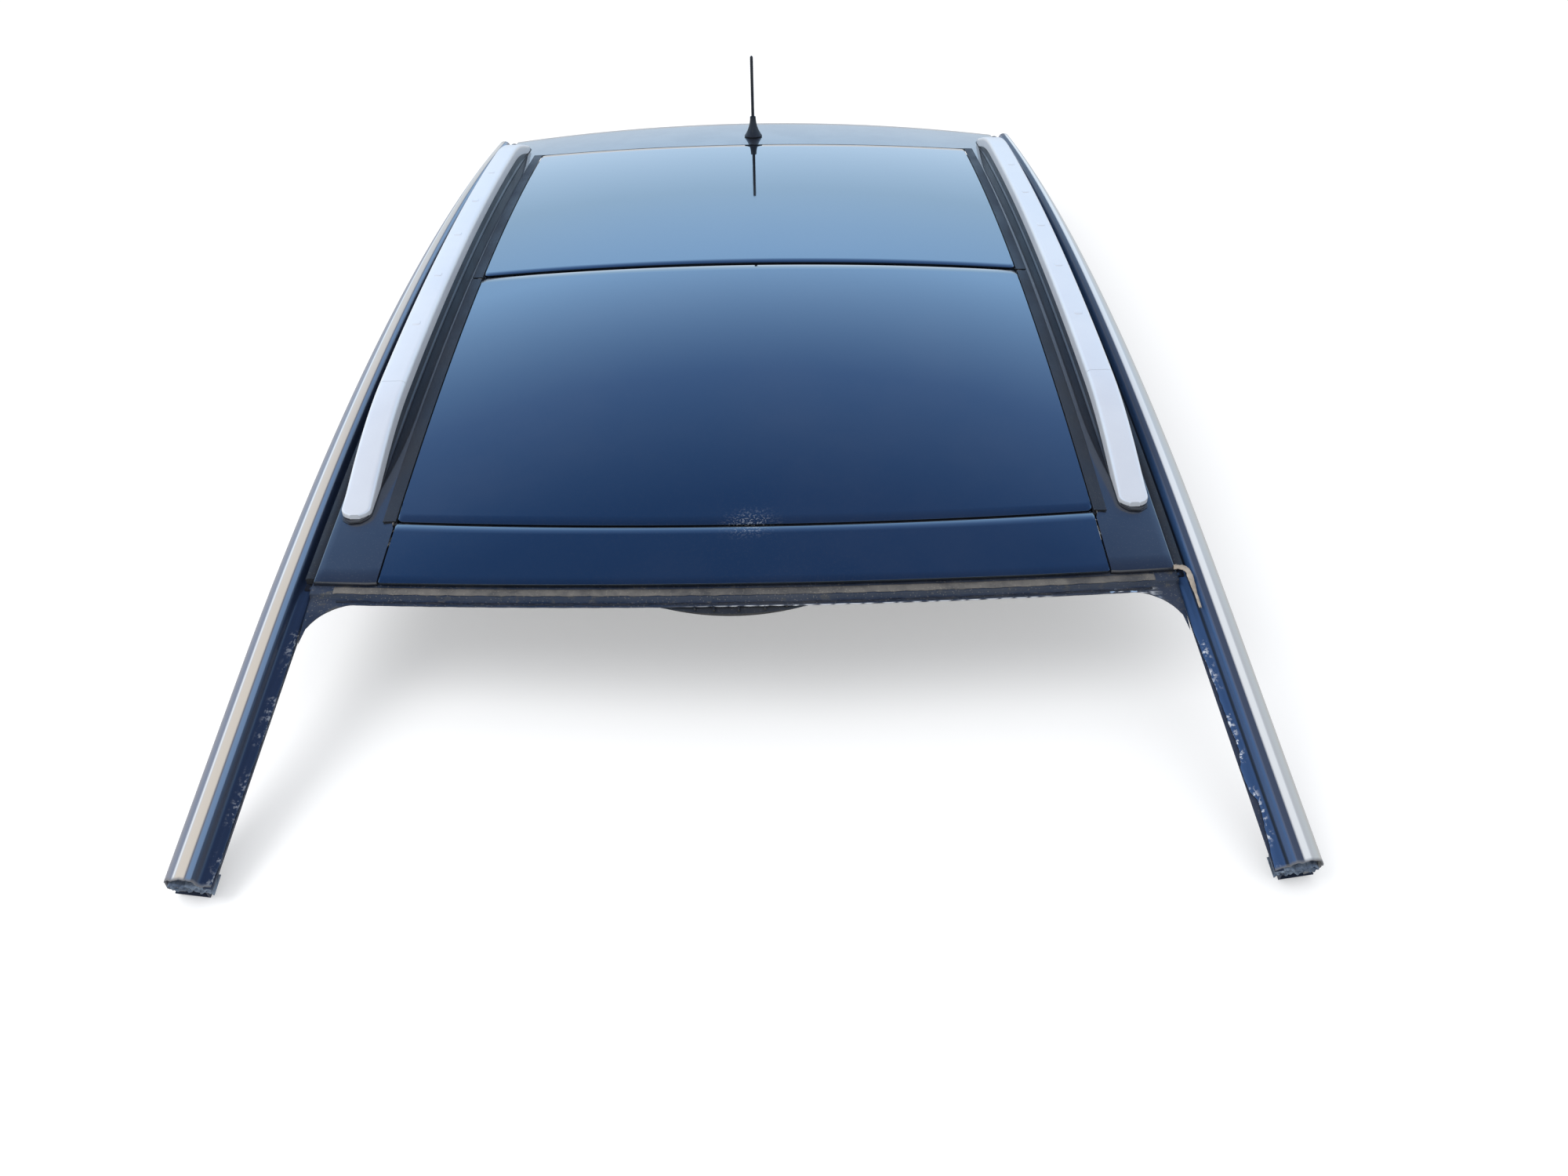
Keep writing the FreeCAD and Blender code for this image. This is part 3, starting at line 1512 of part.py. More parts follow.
# Antenna: moulded foot, flexible mast, gasket and the nut under the roof.
mast_y = PANEL_REAR - size("antenna_inset")
skin_z = roof_z(mast_y)
tilt = station(mast_y)


def on_tilted_roof(item, height):
    """Stands a piece on the roof at the antenna, square to its surface."""
    item.Placement.Rotation = FreeCAD.Rotation(V(1, 0, 0), -1)
    item.setExpression("Placement.Rotation.Angle", f"-1 * {tilt.formula} * 1 deg")
    lean = Size(math.sin(math.radians(tilt.number)), f"sin({tilt.formula} * 1 deg)")
    upright = Size(math.cos(math.radians(tilt.number)), f"cos({tilt.formula} * 1 deg)")
    place(item, 0, mast_y + height * lean, skin_z + height * upright)
    return item


foot = doc.addObject("Part::Cone", "antenna_foot")
bind(foot, "Radius1", size("antenna_base_radius"))
bind(foot, "Radius2", size("antenna_neck_radius"))
bind(foot, "Height", size("antenna_base_height"))
node("antenna_base", on_tilted_roof(foot, SEAT))
mast = rod("antenna_mast", 0, 0, 0, size("mast_radius"), size("mast_length"), "Z")
node("antenna_mast", on_tilted_roof(mast, size("antenna_base_height") + SEAT * 2))
nut = prism("antenna_nut", 6, 0, 0, 0, size("antenna_nut_radius"), size("antenna_nut_height"), "Z")
node("antenna_nut", on_tilted_roof(nut, -STEEL - SEAT - size("antenna_nut_height")))

# Drain spouts at the frame corners and the screws that hold the guide rails to the roof flange.
spouts = []
spout_x = GUIDE_OUT - size("spout_inset")
spout_len = size("spout_length")
for number, spout_y in enumerate((guide_front + size("spout_inset"), guide_rear - size("spout_inset"))):
    spout_z = roof_z(spout_y) + g_base + g_low
    spout_at = (spout_x, spout_y, spout_z - spout_len)
    collar_at = (spout_x, spout_y, spout_z - size("spout_collar"))
    spouts.append(rod(f"spout_{number}", *spout_at, size("spout_radius"), spout_len, "Z"))
    spouts.append(prism(f"collar_{number}", 6, *collar_at, size("collar_radius"), size("spout_radius") * 2, "Z"))
below_guide = along_roof(
    "below_guide",
    [
        (GUIDE_IN, g_base + g_low - APEX_Z),
        (GUIDE_OUT, g_base + g_low - APEX_Z),
        (GUIDE_OUT, g_base + g_low - SEAT),
        (GUIDE_IN, g_base + g_low - SEAT),
    ],
    guide_front - spout_len,
    guide_rear + spout_len,
)
pair("drain_spouts", combine("Common", "spouts_cut", combine("MultiFuse", "spout_row", *spouts), below_guide))
screws = []
screw_length = APERTURE - GUIDE_OUT - SEAT * 2
for number in range(int(size("screw_count").number)):
    spot_y = guide_front + size("screw_lead") + size("screw_pitch") * number
    screw_at = (GUIDE_OUT + SEAT, spot_y, roof_z(spot_y) + g_base - size("screw_drop"))
    screws.append(prism(f"screw_{number}", 6, *screw_at, size("screw_radius"), screw_length, "X"))
pair("frame_screws", combine("MultiFuse", "screw_row", *screws))

doc.recompute()
failed = [item.Name for item in doc.Objects if "Invalid" in item.State or "Error" in item.State]
for label, item in NODES.items():
    shape = item.Shape
    if shape.isNull() or not shape.isValid() or not shape.Solids:
        failed.append(label)
if failed:
    raise SystemExit(f"failed: {failed}")
os.makedirs("parts", exist_ok=True)
for label, item in NODES.items():
    item.Shape.exportStep(f"parts/{label}.step")
print(len(NODES), "nodes written")
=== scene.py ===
"""Looks of a cut-off car roof with a glass sunroof: pieces, finishes, floor, light and camera."""

import logging
import math
from dataclasses import dataclass, field
from enum import Enum

import bmesh
import bpy
import numpy as np
from mathutils import Matrix, Vector

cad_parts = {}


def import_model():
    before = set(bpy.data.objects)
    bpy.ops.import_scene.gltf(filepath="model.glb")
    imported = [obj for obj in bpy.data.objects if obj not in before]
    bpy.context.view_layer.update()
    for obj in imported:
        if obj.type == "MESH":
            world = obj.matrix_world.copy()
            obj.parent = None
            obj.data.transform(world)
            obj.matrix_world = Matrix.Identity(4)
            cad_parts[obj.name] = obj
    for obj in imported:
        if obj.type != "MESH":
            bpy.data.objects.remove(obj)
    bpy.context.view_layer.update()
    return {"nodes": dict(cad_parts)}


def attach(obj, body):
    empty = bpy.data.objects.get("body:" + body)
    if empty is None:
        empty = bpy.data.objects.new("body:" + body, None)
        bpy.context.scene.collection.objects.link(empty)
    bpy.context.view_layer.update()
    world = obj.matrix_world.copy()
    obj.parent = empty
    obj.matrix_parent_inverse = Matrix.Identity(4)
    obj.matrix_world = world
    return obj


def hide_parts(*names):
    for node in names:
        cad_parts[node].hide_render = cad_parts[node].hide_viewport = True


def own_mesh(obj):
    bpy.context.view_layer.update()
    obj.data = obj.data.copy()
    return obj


LOG = logging.getLogger("sunroof")
Array = np.ndarray
Tree = bpy.types.NodeTree
Node = bpy.types.Node
Socket = bpy.types.NodeSocket
Point = tuple[float, float, float]


# Shapes
@dataclass(frozen=True)
class RoofForm:
    """The doubly curved roof surface that the outer pieces follow, in metres."""

    along: float = 7.27
    across: float = 5.5
    apex_y: float = 0.152
    apex_z: float = 0.2566

    def crown(self, x: Array) -> Array:
        """Drop of the surface at x from its middle line."""
        return np.sqrt(self.across**2 - np.square(x)) - self.across

    def height(self, x: Array, y: Array, over: Array = 0.0) -> Array:
        """Height of a point that lies a given distance over the surface.

        Args:
            x: places across the roof.
            y: places along the roof.
            over: distance over the surface, measured from the centre of the long curve.

        Returns:
            The circle about the centre of the long curve, solved for z.
        """
        reach = self.along + self.crown(x) + over
        return self.apex_z - self.along + np.sqrt(reach**2 - np.square(y - self.apex_y))

    def points(self, x: Array, y: Array, over: Array = 0.0) -> Array:
        """Points of the surface at x and y, raised by over."""
        x, y, over = np.broadcast_arrays(x, y, over)
        return np.stack([x, y, self.height(x, y, over)], axis=-1)


ROOF = RoofForm()


@dataclass(frozen=True)
class Bow:
    """A cross edge on a circle. Its ends lie behind its middle by the rise, or in front if that is negative."""

    middle: float
    half: float
    rise: float

    def at(self, x: Array) -> Array:
        """Where the edge lies along the roof at x."""
        depth = abs(self.rise)
        radius = (self.half**2 + depth**2) / (2 * depth)
        return self.middle + math.copysign(1.0, self.rise) * (radius - np.sqrt(radius**2 - np.square(x)))


def smooth_step(value: Array, low: float, high: float) -> Array:
    """0 below low, 1 above high and an even S between them."""
    t = np.clip((value - low) / (high - low), 0.0, 1.0)
    return t * t * (3 - 2 * t)


def ripple(value: Array, scale: float, seed: float = 0.0) -> Array:
    """Sum of four sines of unrelated lengths, an even unrepeating wave within about -1 to 1."""
    phase = seed * np.array([1.3, 2.7, 4.1, 0.6])
    waves = np.array([1.0, 2.17, 4.63, 9.41])
    sizes = np.array([0.45, 0.3, 0.17, 0.08])
    angle = np.multiply.outer(np.asarray(value) * scale, waves) + phase
    return np.sin(angle) @ sizes


def grid_faces(rows: int, columns: int, wrap: bool = False) -> Array:
    """Four-cornered faces of a grid whose columns close on themselves if wrap is true."""
    i = np.arange(rows - 1)[:, None]
    j = np.arange(columns if wrap else columns - 1)[None, :]
    following = (j + 1) % columns
    corners = [i * columns + j, i * columns + following, (i + 1) * columns + following, (i + 1) * columns + j]
    return np.stack(np.broadcast_arrays(*corners), axis=-1).reshape(-1, 4)


@dataclass
class Patchwork:
    """Vertices and faces of one mesh, gathered from several surfaces."""

    points: list[Array] = field(default_factory=list)
    faces: list[list[int]] = field(default_factory=list)
    marks: dict[str, list[Array]] = field(default_factory=dict)
    count: int = 0

    def add(
        self, grid: Array, wrap: bool = False, caps: bool = False, keep: Array | None = None, **marks: Array
    ) -> None:
        """Adds a surface given as a grid of points.

        Args:
            grid: points in rows and columns, shape (rows, columns, 3).
            wrap: whether the columns close on themselves.
            caps: whether the first and last row are closed with a face.
            keep: for each face of the grid, whether it stays.
            marks: named values, one per point, kept as attributes.
        """
        rows, columns = grid.shape[:2]
        faces = grid_faces(rows, columns, wrap)
        if keep is not None:
            faces = faces[keep.reshape(-1)]
        self.faces += (faces + self.count).tolist()
        if caps:
            ring = np.arange(columns) + self.count
            self.faces.append(ring[::-1].tolist())
            self.faces.append((ring + (rows - 1) * columns).tolist())
        self.points.append(grid.reshape(-1, 3))
        for name, values in marks.items():
            self.marks.setdefault(name, []).append(np.broadcast_to(values, grid.shape[:2]).reshape(-1))
        self.count += rows * columns

    def build(self, name: str, closed: bool = True, angle: float = 38.0) -> bpy.types.Object:
        """Makes the mesh object.

        Args:
            name: the piece's name.
            closed: whether the surfaces are closed shells, whose faces are then turned outwards.
            angle: edges sharper than this many degrees stay sharp.

        Returns:
            The new object, linked to the scene.
        """
        mesh = bpy.data.meshes.new(name)
        mesh.from_pydata(np.concatenate(self.points).tolist(), [], self.faces)
        for mark, parts in self.marks.items():
            layer = mesh.attributes.new(mark, "FLOAT", "POINT")
            layer.data.foreach_set("value", np.concatenate(parts).astype(np.float32))
        shape = bmesh.new()
        shape.from_mesh(mesh)
        bmesh.ops.remove_doubles(shape, verts=shape.verts, dist=1e-6)
        loose = [v for v in shape.verts if not v.link_faces]
        bmesh.ops.delete(shape, geom=loose, context="VERTS")
        if closed:
            bmesh.ops.recalc_face_normals(shape, faces=shape.faces)
        shape.to_mesh(mesh)
        shape.free()
        mesh.shade_smooth()
        mesh.set_sharp_from_angle(angle=math.radians(angle))
        thing = bpy.data.objects.new(name, mesh)
        bpy.context.scene.collection.objects.link(thing)
        return thing


def thicken(thing: bpy.types.Object, depth: float, edge: float = 0.0) -> bpy.types.Object:
    """Gives a sheet its wall, away from its normals, and rounds its edges.

    Args:
        thing: a piece whose faces point outwards.
        depth: the wall's thickness in metres.
        edge: radius of the rounded edges, or 0 for none.

    Returns:
        The same piece.
    """
    wall = thing.modifiers.new("wall", "SOLIDIFY")
    wall.thickness = depth
    wall.offset = -1
    wall.use_even_offset = True
    if edge:
        rounding = thing.modifiers.new("rounding", "BEVEL")
        rounding.width = edge
        rounding.segments = 2
        rounding.limit_method = "ANGLE"
        rounding.angle_limit = math.radians(50)
    return thing


def rounded_loop(corners: Array, radius: float, steps: int = 4) -> Array:
    """Closed outline with its corners rounded.

    Each corner is replaced by points of a quadratic curve from one side to the next.

    Args:
        corners: the outline's corners, shape (n, 2).
        radius: how far the rounding reaches along each side.
        steps: points per corner.

    Returns:
        Points, shape (n * steps, 2).
    """
    before = np.roll(corners, 1, axis=0) - corners
    after = np.roll(corners, -1, axis=0) - corners
    reach_before = np.minimum(radius, 0.45 * np.linalg.norm(before, axis=1))
    reach_after = np.minimum(radius, 0.45 * np.linalg.norm(after, axis=1))
    start = corners + before / np.linalg.norm(before, axis=1)[:, None] * reach_before[:, None]
    end = corners + after / np.linalg.norm(after, axis=1)[:, None] * reach_after[:, None]
    t = np.linspace(0, 1, steps)[None, :, None]
    curve = (1 - t) ** 2 * start[:, None] + 2 * t * (1 - t) * corners[:, None] + t**2 * end[:, None]
    return curve.reshape(-1, 2)


def roof_strip(outline: Array, y: Array) -> Array:
    """Outline of (x, height over the middle line) carried along the roof's long curve.

    Args:
        outline: closed outline, shape (k, 2).
        y: places along the roof, shape (n,).

    Returns:
        Points on circles about the centre of the long curve, shape (n, k, 3).
    """
    reach = ROOF.along + outline[None, :, 1]
    angle = np.arcsin((y - ROOF.apex_y) / ROOF.along)[:, None]
    x = np.broadcast_to(outline[None, :, 0], (len(y), len(outline)))
    z = ROOF.apex_z - ROOF.along + reach * np.cos(angle)
    return np.stack([x, ROOF.apex_y + reach * np.sin(angle), z], axis=-1)


def mirrored(grid: Array) -> Array:
    """The same surface on the other side of the car."""
    return grid * np.array([-1.0, 1.0, 1.0])


# Finishes
class Group(Enum):
    """Shader effects that more than one finish uses."""

    CLOUDS = "clouds"
    SPECKS = "specks"
    BRUSHING = "brushing"
    WEAVE = "weave"


@dataclass
class GroupMaker:
    """Builds each shared shader effect once."""

    made: dict[Group, Tree] = field(default_factory=dict)

    def get(self, kind: Group) -> Tree:
        """The node tree of one effect."""
        if kind not in self.made:
            self.made[kind] = getattr(self, f"_{kind.value}")()
        return self.made[kind]

    @staticmethod
    def _tree(name: str, inputs: dict[str, float], output: str) -> tuple[Tree, Node, Node]:
        """An empty effect with a vector input, number inputs and one number output."""
        tree = bpy.data.node_groups.new(name, "ShaderNodeTree")
        tree.interface.new_socket("Vector", in_out="INPUT", socket_type="NodeSocketVector")
        for label, value in inputs.items():
            socket = tree.interface.new_socket(label, in_out="INPUT", socket_type="NodeSocketFloat")
            socket.default_value = value
        tree.interface.new_socket(output, in_out="OUTPUT", socket_type="NodeSocketFloat")
        return tree, tree.nodes.new("NodeGroupInput"), tree.nodes.new("NodeGroupOutput")

    def _clouds(self) -> Tree:
        """Soft uneven patches: noise stretched to run from 0 to 1 between two limits."""
        tree, source, target = self._tree("clouds", {"Scale": 8.0, "Low": 0.35, "High": 0.65}, "Mask")
        noise = tree.nodes.new("ShaderNodeTexNoise")
        noise.inputs["Detail"].default_value = 6.0
        noise.inputs["Roughness"].default_value = 0.6
        spread = tree.nodes.new("ShaderNodeMapRange")
        spread.interpolation_type = "SMOOTHSTEP"
        tree.links.new(source.outputs["Vector"], noise.inputs["Vector"])
        tree.links.new(source.outputs["Scale"], noise.inputs["Scale"])
        tree.links.new(noise.outputs["Fac"], spread.inputs["Value"])
        tree.links.new(source.outputs["Low"], spread.inputs["From Min"])
        tree.links.new(source.outputs["High"], spread.inputs["From Max"])
        tree.links.new(spread.outputs["Result"], target.inputs["Mask"])
        return tree

    def _specks(self) -> Tree:
        """Scattered grains: the middles of random cells, kept where a cloud is thick."""
        tree, source, target = self._tree("specks", {"Scale": 300.0, "Size": 0.18, "Amount": 0.5}, "Mask")
        cells = tree.nodes.new("ShaderNodeTexVoronoi")
        dots = tree.nodes.new("ShaderNodeMapRange")
        dots.inputs["To Min"].default_value = 1.0
        dots.inputs["To Max"].default_value = 0.0
        cloud = tree.nodes.new("ShaderNodeTexNoise")
        cloud.inputs["Scale"].default_value = 5.0
        cloud.inputs["Detail"].default_value = 4.0
        keep = tree.nodes.new("ShaderNodeMath")
        keep.operation = "MULTIPLY"
        strength = tree.nodes.new("ShaderNodeMath")
        strength.operation = "MULTIPLY"
        tree.links.new(source.outputs["Vector"], cells.inputs["Vector"])
        tree.links.new(source.outputs["Vector"], cloud.inputs["Vector"])
        tree.links.new(source.outputs["Scale"], cells.inputs["Scale"])
        tree.links.new(cells.outputs["Distance"], dots.inputs["Value"])
        tree.links.new(source.outputs["Size"], dots.inputs["From Max"])
        tree.links.new(dots.outputs["Result"], keep.inputs[0])
        tree.links.new(cloud.outputs["Fac"], keep.inputs[1])
        tree.links.new(keep.outputs["Value"], strength.inputs[0])
        tree.links.new(source.outputs["Amount"], strength.inputs[1])
        tree.links.new(strength.outputs["Value"], target.inputs["Mask"])
        return tree

    def _brushing(self) -> Tree:
        """Fine lines: noise squeezed across one direction and drawn out along the other."""
        tree, source, target = self._tree("brushing", {"Scale": 600.0, "Stretch": 0.03}, "Height")
        squeeze = tree.nodes.new("ShaderNodeCombineXYZ")
        squeeze.inputs["X"].default_value = 1.0
        squeeze.inputs["Z"].default_value = 1.0
        product = tree.nodes.new("ShaderNodeVectorMath")
        product.operation = "MULTIPLY"
        noise = tree.nodes.new("ShaderNodeTexNoise")
        noise.inputs["Detail"].default_value = 3.0
        tree.links.new(source.outputs["Stretch"], squeeze.inputs["Y"])
        tree.links.new(source.outputs["Vector"], product.inputs[0])
        tree.links.new(squeeze.outputs["Vector"], product.inputs[1])
        tree.links.new(product.outputs["Vector"], noise.inputs["Vector"])
        tree.links.new(source.outputs["Scale"], noise.inputs["Scale"])
        tree.links.new(noise.outputs["Fac"], target.inputs["Height"])
        return tree

    def _weave(self) -> Tree:
        """Plain weave: the product of one sine across and one along, as raised and sunken threads."""
        tree, source, target = self._tree("weave", {"Threads": 900.0}, "Height")
        parts = tree.nodes.new("ShaderNodeSeparateXYZ")
        tree.links.new(source.outputs["Vector"], parts.inputs["Vector"])
        waves = []
        for axis in ("X", "Y"):
            times = tree.nodes.new("ShaderNodeMath")
            times.operation = "MULTIPLY"
            wave = tree.nodes.new("ShaderNodeMath")
            wave.operation = "SINE"
            tree.links.new(parts.outputs[axis], times.inputs[0])
            tree.links.new(source.outputs["Threads"], times.inputs[1])
            tree.links.new(times.outputs["Value"], wave.inputs[0])
            waves.append(wave)
        product = tree.nodes.new("ShaderNodeMath")
        product.operation = "MULTIPLY"
        tree.links.new(waves[0].outputs["Value"], product.inputs[0])
        tree.links.new(waves[1].outputs["Value"], product.inputs[1])
        tree.links.new(product.outputs["Value"], target.inputs["Height"])
        return tree


GROUPS = GroupMaker()


@dataclass(frozen=True)
class Mark:
    """Colour and gloss that a named attribute of the mesh brings in, broken up by a grain if one is given."""

    name: str
    colour: Point
    roughness: float = 0.6
    grain: float = 0.0


@dataclass(frozen=True)
class Finish:
    """A surface finish: two mixed colours, gloss, grain, dust and marks that follow an attribute."""

    name: str
    slot: str
    colour: Point
    second: Point
    patch_scale: float = 6.0
    roughness: float = 0.4
    roughness_worn: float = 0.6
    metallic: float = 0.0
    coat: float = 0.0
    specular: float = 0.5
    specular_tint: Point = (1.0, 1.0, 1.0)
    relief: Group = Group.CLOUDS
    relief_scale: float = 400.0
    relief_depth: float = 0.1
    dust: float = 0.0
    dust_colour: Point = (0.42, 0.38, 0.31)
    dust_scale: float = 260.0
    marks: tuple[Mark, ...] = ()

    def build(self) -> bpy.types.Material:
        """Makes the node material."""
        material = bpy.data.materials.new(self.name)
        material.use_nodes = True
        tree = material.node_tree
        shader = tree.nodes["Principled BSDF"]
        place = tree.nodes.new("ShaderNodeTexCoord").outputs["Object"]
        patches = self._effect(tree, Group.CLOUDS, place, Scale=self.patch_scale, Low=0.3, High=0.7)
        colour = self._mix(tree, patches, self.colour, self.second)
        rough = self._blend(tree, patches, self.roughness, self.roughness_worn)
        if self.dust:
            amount = self.dust * 2
            specks = self._effect(tree, Group.SPECKS, place, Scale=self.dust_scale, Size=0.28, Amount=amount)
            film = self._effect(tree, Group.CLOUDS, place, Scale=3.0, Low=0.4, High=0.75)
            film = self._math(tree, "MULTIPLY", film, self.dust * 0.25)
            dirt = self._math(tree, "MAXIMUM", specks, film)
            colour = self._mix(tree, dirt, colour, self.dust_colour)
            rough = self._blend(tree, dirt, rough, 0.8)
        for mark in self.marks:
            attribute = tree.nodes.new("ShaderNodeAttribute")
            attribute.attribute_name = mark.name
            mask = attribute.outputs["Fac"]
            if mark.grain:
                grains = self._effect(tree, Group.CLOUDS, place, Scale=mark.grain, Low=0.52, High=0.6)
                mask = self._math(tree, "MULTIPLY", mask, grains)
            colour = self._mix(tree, mask, colour, mark.colour)
            rough = self._blend(tree, mask, rough, mark.roughness)
        tree.links.new(colour, shader.inputs["Base Color"])
        tree.links.new(rough, shader.inputs["Roughness"])
        scale = "Threads" if self.relief is Group.WEAVE else "Scale"
        height = self._effect(tree, self.relief, place, **{scale: self.relief_scale})
        bump = tree.nodes.new("ShaderNodeBump")
        bump.inputs["Strength"].default_value = self.relief_depth
        bump.inputs["Distance"].default_value = 0.0004
        tree.links.new(height, bump.inputs["Height"])
        tree.links.new(bump.outputs["Normal"], shader.inputs["Normal"])
        shader.inputs["Metallic"].default_value = self.metallic
        shader.inputs["Coat Weight"].default_value = self.coat
        shader.inputs["Coat Roughness"].default_value = 0.03
        shader.inputs["Specular IOR Level"].default_value = self.specular
        shader.inputs["Specular Tint"].default_value = (*self.specular_tint, 1.0)
        return material

    @staticmethod
    def _effect(tree: Tree, kind: Group, place: Socket, **values: float) -> Socket:
        """Places a shared effect and returns its only output."""
        node = tree.nodes.new("ShaderNodeGroup")
        node.node_tree = GROUPS.get(kind)
        for label, value in values.items():
            node.inputs[label].default_value = value
        tree.links.new(place, node.inputs["Vector"])
        return node.outputs[0]

    @staticmethod
    def _mix(tree: Tree, mask: Socket, low: object, high: object) -> Socket:
        """Mixes two colours, each a colour or a socket, by a mask."""
        node = tree.nodes.new("ShaderNodeMix")
        node.data_type = "RGBA"
        tree.links.new(mask, node.inputs["Factor"])
        for socket, value in ((node.inputs["A"], low), (node.inputs["B"], high)):
            target = [s for s in node.inputs if s.name == socket.name and s.type == "RGBA"][0]
            if isinstance(value, tuple):
                target.default_value = (*value, 1.0)
            else:
                tree.links.new(value, target)
        return [s for s in node.outputs if s.type == "RGBA"][0]

    @staticmethod
    def _blend(tree: Tree, mask: Socket, low: object, high: float) -> Socket:
        """Runs a number from low, a value or a socket, to high by a mask."""
        node = tree.nodes.new("ShaderNodeMapRange")
        tree.links.new(mask, node.inputs["Value"])
        if isinstance(low, float):
            node.inputs["To Min"].default_value = low
        else:
            tree.links.new(low, node.inputs["To Min"])
        node.inputs["To Max"].default_value = high
        return node.outputs["Result"]

    @staticmethod
    def _math(tree: Tree, kind: str, first: Socket, second: object) -> Socket:
        """One step of arithmetic on masks."""
        node = tree.nodes.new("ShaderNodeMath")
        node.operation = kind
        tree.links.new(first, node.inputs[0])
        if isinstance(second, float):
            node.inputs[1].default_value = second
        else:
            tree.links.new(second, node.inputs[1])
        return node.outputs["Value"]


CHALK = (0.70, 0.73, 0.77)
FINISHES = {
    f.name: f
    for f in (
        Finish("roof_lacquer", "roof_paint", (0.008, 0.009, 0.013), (0.013, 0.014, 0.019), 9.0, 0.3, 0.36,
               coat=1.0, dust=0.08, relief_scale=1500.0, relief_depth=0.02),
        # Pillar paint: the navy mark is the dark paint itself. The grey-violet ground colour and the lighter
        # blue, grey, beige, silver and white bands are painted reflections and painted highlights of sky and
        # ground on that paint, and the black line is painted shade in the crease of the flange.
        Finish("pillar_lacquer_painted_reflections", "body_paint", (0.145, 0.148, 0.185), (0.175, 0.175, 0.205), 5.0,
               0.3, 0.4, 0.1, coat=0.25, dust=0.1, relief_scale=900.0, relief_depth=0.03,
               marks=(Mark("navy", (0.012, 0.021, 0.048), 0.3), Mark("blue", (0.030, 0.070, 0.165), 0.3),
                      Mark("slate", (0.042, 0.055, 0.088), 0.6), Mark("sheen", (0.15, 0.23, 0.35), 0.3),
                      Mark("warm", (0.56, 0.50, 0.42), 0.4), Mark("silver", (0.46, 0.455, 0.43), 0.35),
                      Mark("bright", (0.74, 0.75, 0.74), 0.35), Mark("line", (0.004, 0.005, 0.008), 0.7),
                      Mark("chips", CHALK, 0.6, 190.0), Mark("torn", (0.16, 0.16, 0.17), 0.6))),
        Finish("inner_primer", "inner_metal", (0.014, 0.022, 0.045), (0.024, 0.034, 0.06), 14.0, 0.4, 0.65,
               dust=0.2, relief_scale=500.0, relief_depth=0.12),
        Finish("flange_primer", "inner_metal", (0.012, 0.02, 0.04), (0.022, 0.032, 0.055), 22.0, 0.4, 0.65,
               dust=0.35, relief_scale=420.0, relief_depth=0.3,
               marks=(Mark("grime", (0.085, 0.08, 0.07), 0.8, 60.0),
                      Mark("primer", (0.30, 0.42, 0.60), 0.4, 70.0), Mark("chipped", CHALK, 0.5))),
        Finish("step_dust", "inner_metal", (0.055, 0.052, 0.05), (0.14, 0.13, 0.118), 30.0, 0.6, 0.85,
               dust=0.35, relief_scale=350.0, relief_depth=0.3),
        Finish("crumpled_steel", "inner_metal", (0.03, 0.045, 0.08), (0.25, 0.30, 0.36), 60.0, 0.4, 0.7, 0.3,
               dust=0.3, relief_scale=300.0, relief_depth=0.4),
        Finish("tinted_glass", "roof_glass", (0.003, 0.005, 0.009), (0.004, 0.006, 0.011), 2.0, 0.03, 0.05,
               coat=1.0, specular=1.0, specular_tint=(0.55, 0.78, 1.0), dust=0.07, relief_scale=3.0,
               relief_depth=0.01, dust_scale=420.0, marks=(Mark("smudge", (0.22, 0.23, 0.24), 0.6, 330.0),)),
        Finish("silver_rail", "rail_silver", (0.70, 0.72, 0.75), (0.76, 0.78, 0.80), 4.0, 0.34, 0.42, 0.25,
               relief=Group.BRUSHING, relief_scale=700.0, relief_depth=0.05, dust=0.05,
               dust_colour=(0.3, 0.29, 0.27),
               marks=(Mark("seam", (0.16, 0.16, 0.17), 0.6),)),
        Finish("drawn_aluminium", "frame_aluminium", (0.48, 0.49, 0.50), (0.58, 0.59, 0.60),
               12.0, 0.35, 0.5, 0.9, relief=Group.BRUSHING, relief_scale=900.0, relief_depth=0.1, dust=0.15),
        Finish("rubber", "black_rubber", (0.010, 0.010, 0.011), (0.018, 0.018, 0.019), 20.0, 0.55, 0.75,
               relief_scale=900.0, relief_depth=0.15, dust=0.12),
        Finish("torn_rubber", "black_rubber", (0.46, 0.40, 0.33), (0.28, 0.235, 0.19), 60.0, 0.7, 0.9,
               relief_scale=700.0, relief_depth=0.5, dust=0.2),
        Finish("moulded_plastic", "black_plastic", (0.012, 0.012, 0.013), (0.02, 0.02, 0.021), 10.0,
               0.42, 0.58, relief_scale=1600.0, relief_depth=0.2, dust=0.12),
        Finish("pad_plastic", "black_plastic", (0.030, 0.032, 0.038), (0.045, 0.047, 0.052), 12.0, 0.3, 0.42,
               relief_scale=1400.0, relief_depth=0.1, dust=0.1),
        Finish("urethane_bead", "urethane", (0.006, 0.008, 0.014), (0.020, 0.020, 0.024), 45.0, 0.45, 0.8,
               relief_scale=260.0, relief_depth=0.6, dust=0.15),
        Finish("zinc_steel", "bare_steel", (0.38, 0.38, 0.37), (0.28, 0.27, 0.25), 18.0, 0.35, 0.55, 0.9,
               relief_scale=800.0, relief_depth=0.1, dust=0.1),
        Finish("shade_cloth_fabric", "shade_fabric", (0.34, 0.325, 0.30), (0.40, 0.385, 0.36), 9.0, 0.9, 0.95,
               relief=Group.WEAVE, relief_scale=4200.0, relief_depth=0.6, specular=0.2),
    )
}


